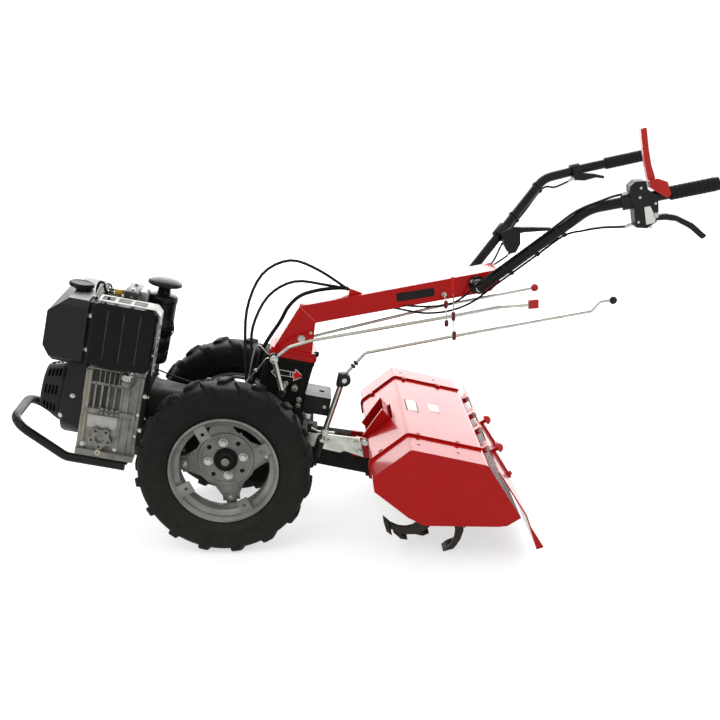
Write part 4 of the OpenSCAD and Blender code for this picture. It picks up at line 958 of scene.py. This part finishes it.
@dataclass
class ColumnDress:
    """Direction sign, weld, pivots, links and fasteners of the column and the arm's foot."""

    machine: Machine
    face: float = -52.0
    rod_y: float = -110.0
    arm_face: float = -55.0

    def build(self) -> None:
        """Builds the column's small pieces."""
        self.sign()
        self.fasteners()
        self.pivots()
        self.links()
        self.weld()

    def sign(self) -> None:
        """Double arrow in white lines with its rear head filled red."""
        y = self.face
        outer = [(87, 259), (107, 277), (107, 270), (159, 270), (159, 281), (190, 261), (159, 241),
            (159, 252), (107, 252), (107, 241)]
        tail = [(90.4, 259), (105, 272.2), (105, 268), (146, 268), (146, 254), (105, 254), (105, 245.8)]
        bar = [(148, 254), (148, 268), (153.6, 268), (153.6, 254)]
        head = [(156, 254), (156, 268), (161, 268), (161, 277), (186, 261), (161, 245), (161, 254)]
        for name, finish, proud, outlines in (("sign_outline", WHITE_SIGN, 0.7, [outer]),
                ("sign_field", BLACK_PAINT, 1.0, [tail, bar]), ("sign_head", SIGN_RED, 1.0, [head])):
            sketch = Sketch(self.machine)
            for outline in outlines:
                sketch.plate(outline, y + 1, y - proud)
            sketch.piece(name, finish)

    def fasteners(self) -> None:
        """Bolts on the column, the arm's foot and the hitch plates."""
        sketch = Sketch(self.machine)
        for side in (1, -1):
            out = (0, -side, 0)
            for x, y, z, d in ((159, self.arm_face, 380, 10), (184, self.arm_face, 403, 4),
                    (187, -60, 187, 8), (188, -60, 167, 8)):
                sketch.bolt((x, side*y, z), out, d)
        sketch.bolt((206, -40, 335.5), REAR, 7)
        sketch.bolt((138, -60, 231), LEFT, 8, tall=2.0)
        for x, y, z, d in ((387, -90, 91, 8), (403, -90, 64, 9), (300, -90, 80, 8), (414, -84, 97, 11)):
            sketch.bolt((x, y, z), LEFT, d)
        for x in (300, 392):
            sketch.bolt((x, 90, 51), RIGHT, 8)
        sketch.piece("column_bolts", ZINC)
        sketch.bar((211, -40, 335.5), (222, -40, 335.5), 8.5, sides=6, edge=0.9)
        sketch.piece("foot_nut", BLACK_PAINT)

    def pivots(self) -> None:
        """Dark clevis, bushings, sleeve and ball joint of the linkages."""
        sketch = Sketch(self.machine)
        y = self.rod_y
        sketch.block((286.5, y - 14, 270), (309, y + 14, 312), 4.0)
        sketch.lathe((308, y + 16, 294), LEFT, [(0, 0), (16, 0), (19.5, 3), (19.5, 29), (16.5, 32),
            (0, 32)])
        sketch.lathe((88, y + 13, 318), LEFT, [(12, 0), (16, 1), (16, 17), (12, 18)], steps=32)
        sketch.bar((271, y, 33), (277.5, y, 85), 11.2, sides=24, edge=1.5)
        sketch.lathe((237, -88, 110), UP, [(5, -8), (5, 0), (8, 2.5), (9.6, 7), (9.2, 11), (6, 15.5),
            (0, 17)], steps=24)
        rise = Vector((48, 0, 81)).normalized()
        for s in (36.0, 49.0):
            a = Vector((306, y, 306)) + s*rise
            sketch.bar(a, a + 7*rise, 8.5, sides=6, edge=0.8)
        sketch.lathe((1052, y, 676), UP, [(0, 0), (5, 1.1), (9, 4.4), (11.6, 9), (12, 12), (11.6, 15),
            (9, 20), (5, 23), (0, 24)], steps=32)
        sketch.piece("linkage_joints", BLACK_PLASTIC)

    def links(self) -> None:
        """Pins, cross rod and thin links by the column."""
        sketch = Sketch(self.machine)
        y = self.rod_y
        sketch.bar((308, y - 15, 294), (308, y - 19, 294), 8.0, sides=24, edge=1.2)
        sketch.bar((88, y - 11, 318), (88, y - 15, 318), 9.0, sides=24, edge=1.5)
        sketch.tube([(237, -90, 119), (249, -98, 115), (264, -106, 114), (282, -110, 116),
            (312, -112, 119)], 4.2)
        sketch.bar((281.6, y - 12, 116), (281.6, y + 12, 116), 12.0, sides=24, edge=1.5)
        sketch.tube([(84, y + 4, 316), (66, -102, 312), (54, -98, 288), (42, -96, 266), (24, -92, 236),
            (8, -84, 196), (0, -74, 150)], 2.4)
        sketch.lathe((42, -96, 262), (-0.5, 0, 0.87), [(2, 0), (5.5, 2), (5.5, 9), (2, 11)], steps=16)
        sketch.tube([(80, y + 6, 322), (62, -106, 332), (46, -100, 343), (36, -96, 346), (27, -90, 332),
            (24, -82, 270), (25, -74, 200), (26, -66, 150)], 2.2)
        sketch.piece("column_links", ZINC)

    def weld(self) -> None:
        """Weld beads on the mitre of the arm, in a pale red whose lightness is a painted highlight along the weld.
        """
        sketch = Sketch(self.machine)
        for side in (1, -1):
            y = side*(self.arm_face - 0.1)
            sketch.tube([(136, y, 477), (164, y, 458), (193, y, 438)], 1.5)
        sketch.piece("arm_weld", PAINTED_HIGHLIGHT_RED)


@dataclass
class HandlebarDress:
    """Cables, clips, ferrules, bare plates, rod guides and screws of the handlebar."""

    machine: Machine
    foot: Point = (648.0, 112.0, 648.0)
    bend: Point = (853.0, 316.0, 963.0)
    under: Point = (0.3, -0.2, -1.0)
    front: Point = (-1.0, 0.3, 0.4)
    under_gap: float = 19.5
    front_gap: float = 18.6
    cable_r: float = 3.2

    def beside(self, side: int, share: float, way: Point, gap: float) -> Point:
        """A point next to the lower run of a handlebar tube.

        Args:
            side: -1 for the left tube and 1 for the right one.
            share: place along the run, 0 at its foot and 1 at its bend.
            way: direction off the tube.
            gap: distance from the tube's axis.

        Returns:
            The point in the machine frame.
        """
        a, b = Vector(self.foot), Vector(self.bend)
        run = (b - a).normalized()
        off = Vector(way) - run*run.dot(Vector(way))
        p = a.lerp(b, share) + gap*off.normalized()
        return (p.x, side*p.y, p.z)

    def build(self) -> None:
        """Builds the handlebar's small pieces."""
        self.cables()
        self.clips()
        self.plates()
        self.guides()
        self.screws()

    def cables(self) -> None:
        """Control cables from the levers along the tubes to the arm."""
        sketch = Sketch(self.machine)
        low = [self.beside(-1, s, self.under, self.under_gap) for s in (0.74, 0.5, 0.26, 0.08)]
        sketch.tube([(974, -346, 950), (950, -345, 936), (898, -337, 922), (852, -314, 900), *low,
            (640, -84, 596), (586, -60, 553), (530, -58, 534), (487, -57, 528), (417, -52, 527),
            (372, -47, 524)], self.cable_r)
        high = [self.beside(-1, s, self.front, self.front_gap) for s in (0.93, 0.7, 0.45, 0.2, 0.04)]
        sketch.tube([(940, -350, 1030), (922, -349, 1021), (900, -345, 1010), (878, -336, 994), *high,
            (618, -76, 612), (581, -60, 573), (521, -58, 553), (462, -55, 543), (412, -48, 538)],
            self.cable_r)
        far = [self.beside(1, s, self.under, self.under_gap) for s in (0.94, 0.7, 0.55)]
        sketch.tube([(950, 306, 984), (926, 304, 966), (894, 306, 944), *far, (744, 190, 744),
            (716, 118, 700), (686, 62, 676), (664, 46, 664)], self.cable_r)
        sketch.tube([(776, 174, 726), (762, 165, 712), (744, 146, 700), (718, 104, 690), (690, 60, 684),
            (664, 42, 676)], self.cable_r)
        sketch.piece("lever_cables", RUBBER)
        for a, b in (((940, -350, 1030), (920, -348.7, 1020)), ((974, -346, 950), (953, -345.2, 937)),
                ((950, 306, 984), (932, 304.5, 971)), ((776, 174, 726), (763, 166, 713))):
            sketch.bar(a, b, 4.6, sides=16, edge=0.8)
        sketch.piece("cable_ferrules", ZINC)

    def clips(self) -> None:
        """Clips that hold the cables to the tubes."""
        sketch = Sketch(self.machine)
        run = Vector(self.bend) - Vector(self.foot)
        for side, shares in ((-1, (0.26, 0.5, 0.74)), (1, (0.58, 0.9))):
            for share in shares:
                p = Vector(self.foot).lerp(Vector(self.bend), share)
                axis = (run.x, side*run.y, run.z)
                sketch.lathe((p.x, side*p.y, p.z), axis, [(15, 0), (17.4, 0.6), (17.8, 3), (17.8, 6),
                    (17.4, 8.4), (15, 9)], steps=32)
                q = Vector(self.beside(side, share, self.under, self.under_gap))
                along = Vector(axis).normalized()
                sketch.bar(q, q + 9*along, 5.6, sides=14, edge=1.0)
        sketch.piece("cable_clips", BLACK_PLASTIC)

    def plates(self) -> None:
        """Bare plates on the arm and on the control housing."""
        sketch = Sketch(self.machine)
        sketch.plate([(414, 573), (523, 612), (529, 588), (421, 548)], -54, -56.8, edge=0.6, corner=5.0)
        sketch.piece("arm_plate", BLACK_PAINT)
        sketch.plate([(985, 1000), (1000, 1006), (1023, 979), (1025, 965), (1003, 955)], -363, -365.4,
            edge=0.4, corner=2.0)
        sketch.piece("housing_plate", WHITE_SIGN)

    def guides(self) -> None:
        """Guide wires hung from the arm, with beads where the rods run through."""
        sketch = Sketch(self.machine)
        sketch.tube([(557, -57, 596), (551, -90, 602), (553, -103, 600), (559, -103, 590), (564, -103, 567),
            (574, -103, 531), (577, -103, 514)], 1.9)
        sketch.tube([(584, -55.5, 606), (585, -58, 598), (586, -84, 583), (587, -110, 562),
            (594, -110, 534), (603, -110, 504), (608, -110, 480)], 1.9)
        sketch.piece("guide_wires", ZINC)
        sketch.plate([(566, 654), (576, 656), (590, 599), (580, 596)], -54, -57.2, edge=1.0)
        sketch.piece("guide_strap", SIGN_RED)
        for y, top, low in ((-103, (559, 590), (564, 567)), (-103, (574, 532), (578, 512)),
                (-110, (587, 562), (594, 535)), (-110, (603, 504), (609, 477))):
            way = Vector((low[0] - top[0], 0, low[1] - top[1]))
            tall = way.length
            sketch.lathe((top[0], y, top[1]), way, [(0, 0), (4, 0.5), (6, 3.5), (6.6, tall/2),
                (6, tall - 3.5), (4, tall - 0.5), (0, tall)], steps=16)
        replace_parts(sketch.piece("guide_beads", BEAD_PAINT), "rod_guides")

    def screws(self) -> None:
        """Screws of the housing, the clamps and the guide wire."""
        sketch = Sketch(self.machine)
        for x, z in ((966, 1023), (962, 1048), (1012, 1016), (1016, 952), (980, 958)):
            sketch.bolt((x, -364, z), LEFT, 4.5, washer=False)
        sketch.bolt((1022, -364, 985), LEFT, 7)
        for side in (-1, 1):
            for x, y, z, d in ((630, 67, 655, 6), (667, 67, 640, 6), (648, 114, 648, 10)):
                sketch.bolt((x, side*y, z), (0, side, 0), d)
        sketch.bolt((557, -55, 597), LEFT, 7)
        sketch.bolt((772, 206, 760), RIGHT, 8)
        sketch.bolt((958, 319, 990), RIGHT, 6)
        sketch.piece("handlebar_screws", ZINC)


@dataclass
class TillerDress:
    """Bare signs, lip bolts, hinge pins and tine bolts of the tiller."""

    machine: Machine
    top_edge: tuple[float, float] = (508.5, 213.5)
    top_fall: float = 7.0
    top_run: float = 226.0
    rotor_turn: float = 24.70
    disc_first: float = 128.0
    disc_step: float = 86.0
    disc_face: float = 15.0
    discs: int = 3
    tines: int = 4
    tine_holes: tuple[tuple[float, float], ...] = ((34.0, 0.3), (47.0, 1.4))
    hinge: tuple[float, float] = (759.77, 200.05)
    hinge_ys: tuple[float, ...] = (-230.0, -70.0, 70.0, 230.0)

    def top(self, x: float) -> float:
        """Height of the hood's top sheet at x."""
        return self.top_edge[1] - self.top_fall*(x - self.top_edge[0])/self.top_run

    def build(self) -> None:
        """Builds the tiller's small pieces."""
        self.signs()
        self.lip_bolts()
        self.hinge_pins()
        self.tine_bolts()

    def signs(self) -> None:
        """Bare pale signs on the hood's top."""
        sketch = Sketch(self.machine)
        for x0, x1, y0, y1 in ((528, 561, -48, 54), (602, 636, -12, 58)):
            z = self.top((x0 + x1)/2)
            sketch.block((x0, y0, z - 2), (x1, y1, z + 0.9), 0.3)
        sketch.piece("hood_signs", WHITE_SIGN)
        for x in (526.4, 562.6):
            z = self.top(x)
            sketch.block((x - 1.6, -48, z - 2), (x + 1.6, 54, z + 1.1), 0.3)
        sketch.piece("hood_sign_edges", CASE_SHADE)

    def lip_bolts(self) -> None:
        """Painted bolts beside the hood's lips."""
        sketch = Sketch(self.machine)
        for side in (-1, 1):
            for x in (540, 660):
                sketch.bolt((x, side*267, self.top(x)), UP, 8, tall=0.8)
                sketch.bolt((x, side*280, self.top(x) + 2), (0, side, 0), 6)
            sketch.bolt((446, side*266, 142), (-0.75, 0, 0.66), 8, tall=0.8)
        sketch.piece("lip_bolts", RED_PAINT)

    def hinge_pins(self) -> None:
        """Heads of the four hinge pins."""
        sketch = Sketch(self.machine)
        x, z = self.hinge
        for y in self.hinge_ys:
            sketch.bolt((x, y + 44, z), RIGHT, 4)
            sketch.bolt((x, y - 10, z), LEFT, 6)
        sketch.piece("hinge_pins", ZINC)

    def tine_bolts(self) -> None:
        """Two bolts at the root of every tine."""
        sketch = Sketch(self.machine)
        mid_x, mid_z = self.machine.rotor
        for s, side in ((0, 1), (1, -1)):
            for k in range(self.discs):
                for i in range(self.tines):
                    way = side*(1 if i % 2 == 0 else -1)
                    y = side*(self.disc_first + self.disc_step*k) + self.disc_face*way
                    for r, sweep in self.tine_holes:
                        x, z = polar(r, -sweep - (90*i + 30*k + 20*s + self.rotor_turn))
                        sketch.bolt((mid_x + x, y, mid_z + z), (0, way, 0), 8)
        sketch.piece("tine_bolts", TINE_STEEL, Body.ROTOR)


@dataclass
class Studio:
    """Floor, lights and the camera at the photograph's place."""

    camera_place: Point = (-0.0796, -3.2939, 1.5059)
    camera_turn: tuple[float, float, float] = (73.33, 0.0, -2.33)
    lens: float = 55.1
    sensor: float = 36.0
    far_clip: float = 200.0
    floor_size: float = 60.0
    floor_tone: tuple[float, ...] = (0.52, 0.52, 0.515, 1.0)
    floor_glow: float = 0.62
    world_light: float = 0.85

    def build(self) -> None:
        """Builds the whole stage."""
        self.camera()
        self.floor()
        self.world()
        for name, place, aim, size, watts in (("key", (-2.6, -3.4, 4.6), (0.0, 0.0, 0.4), 3.0, 80.0),
                ("back", (0.5, 4.4, 2.4), (0.2, 0.0, 0.6), 6.0, 370.0),
                ("fill", (3.4, -3.0, 2.2), (0.2, 0.0, 0.5), 3.0, 26.0)):
            self.lamp(name, place, aim, size, watts)

    def camera(self) -> None:
        """Makes the camera and hands it to the scene."""
        data = bpy.data.cameras.new("camera")
        data.lens = self.lens
        data.sensor_width = self.sensor
        data.clip_end = self.far_clip
        made = bpy.data.objects.new("camera", data)
        made.location = self.camera_place
        made.rotation_euler = [math.radians(a) for a in self.camera_turn]
        bpy.context.scene.collection.objects.link(made)
        bpy.context.scene.camera = made

    def floor(self) -> None:
        """Lays a plain pale floor under the machine."""
        bm = bmesh.new()
        bmesh.ops.create_grid(bm, x_segments=1, y_segments=1, size=self.floor_size/2)
        mesh = bpy.data.meshes.new("floor")
        bm.to_mesh(mesh)
        bm.free()
        made = bpy.data.objects.new("floor", mesh)
        bpy.context.scene.collection.objects.link(made)
        mesh.materials.append(self.floor_material())

    def floor_material(self) -> bpy.types.Material:
        """A matt floor that shows as near white to the camera and in reflections, with the shadows kept."""
        made = bpy.data.materials.new("floor_white")
        made.use_nodes = True
        tree = made.node_tree
        shader = tree.nodes["Principled BSDF"]
        for key, value in (("Base Color", self.floor_tone), ("Roughness", 0.9),
                ("Specular IOR Level", 0.1)):
            shader.inputs[key].default_value = value
        glow = add_node(tree, "Emission", {"Color": WHITE})
        add = add_node(tree, "AddShader")
        rays = add_node(tree, "LightPath")
        seen = add_node(tree, "Math", operation="MAXIMUM")
        level = add_node(tree, "Math", {1: self.floor_glow}, operation="MULTIPLY")
        join(tree, (rays, "Is Camera Ray", seen, 0), (rays, "Is Glossy Ray", seen, 1),
            (seen, "Value", level, 0), (level, "Value", glow, "Strength"), (shader, "BSDF", add, 0),
            (glow, "Emission", add, 1), (add, "Shader", tree.nodes["Material Output"], "Surface"))
        return made

    def world(self) -> None:
        """White surroundings to the camera and in reflections, a plain level of light on the object."""
        world = bpy.data.worlds.new("studio")
        bpy.context.scene.world = world
        world.use_nodes = True
        tree = world.node_tree
        back = tree.nodes["Background"]
        back.inputs["Color"].default_value = WHITE
        rays = add_node(tree, "LightPath")
        seen = add_node(tree, "Math", operation="MAXIMUM")
        also = add_node(tree, "Math", operation="MAXIMUM")
        level = add_node(tree, "MapRange", {"To Min": self.world_light, "To Max": 1.0})
        join(tree, (rays, "Is Camera Ray", seen, 0), (rays, "Is Glossy Ray", seen, 1),
            (seen, "Value", also, 0), (rays, "Is Transmission Ray", also, 1),
            (also, "Value", level, "Value"), (level, "Result", back, "Strength"))

    def lamp(self, name: str, place: Point, aim: Point, size: float, watts: float) -> None:
        """Adds a soft square lamp.

        Args:
            name: name of the lamp.
            place: where it hangs.
            aim: point that it lights.
            size: side of the square, in metres.
            watts: its power.
        """
        data = bpy.data.lights.new(name, "AREA")
        data.size = size
        data.energy = watts
        made = bpy.data.objects.new(name, data)
        made.location = place
        made.rotation_euler = (Vector(aim) - Vector(place)).to_track_quat("-Z", "Y").to_euler()
        bpy.context.scene.collection.objects.link(made)


@dataclass
class CadDress:
    """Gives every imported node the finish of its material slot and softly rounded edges."""

    edge: float = 1.0
    merge: float = 0.02
    sharp: float = 35.0
    plain: set[str] = field(default_factory=lambda: {"control_cables", "tine_rotor"})
    special: dict[str, Finish] = field(default_factory=lambda: {"fuel_tank": TANK_PAINT,
        "muffler_guard": GUARD_STEEL})

    def build(self) -> None:
        """Dresses all nodes."""
        by_name = {f.name: f for f in FINISHES}
        for part in frame["record"]["subparts"]:
            node = frame["nodes"][part["node"]]
            finish = self.special.get(part["node"], by_name[part["material_slot"]])
            node.data.materials.clear()
            node.data.materials.append(finish.material())
            if part["node"] not in self.plain:
                self.soften(node)
            log.info("%s: %s", part["node"], finish.name)

    def soften(self, node: bpy.types.Object) -> None:
        """Joins a node's loose faces and rounds its edges by modifiers."""
        weld = node.modifiers.new("weld", "WELD")
        weld.merge_threshold = self.merge*MM
        bevel = node.modifiers.new("edges", "BEVEL")
        bevel.width = self.edge*MM
        bevel.segments = 2
        bevel.limit_method = "ANGLE"
        bevel.angle_limit = math.radians(self.sharp)
        bevel.harden_normals = True


def main() -> None:
    """Builds the scene."""
    logging.basicConfig(level=logging.INFO, format="%(message)s")
    bpy.context.scene.view_settings.view_transform = "Standard"
    GROUPS["grain"] = grain_group()
    GROUPS["dust"] = dust_group()
    machine = Machine.from_joints(frame["joints"])
    Studio().build()
    CadDress().build()
    for side in (-1, 1):
        Wheel(machine, side).build()
    for dress in (EngineDress, DriveDress, ColumnDress, HandlebarDress, TillerDress):
        dress(machine).build()


if __name__ == "__main__":
    main()
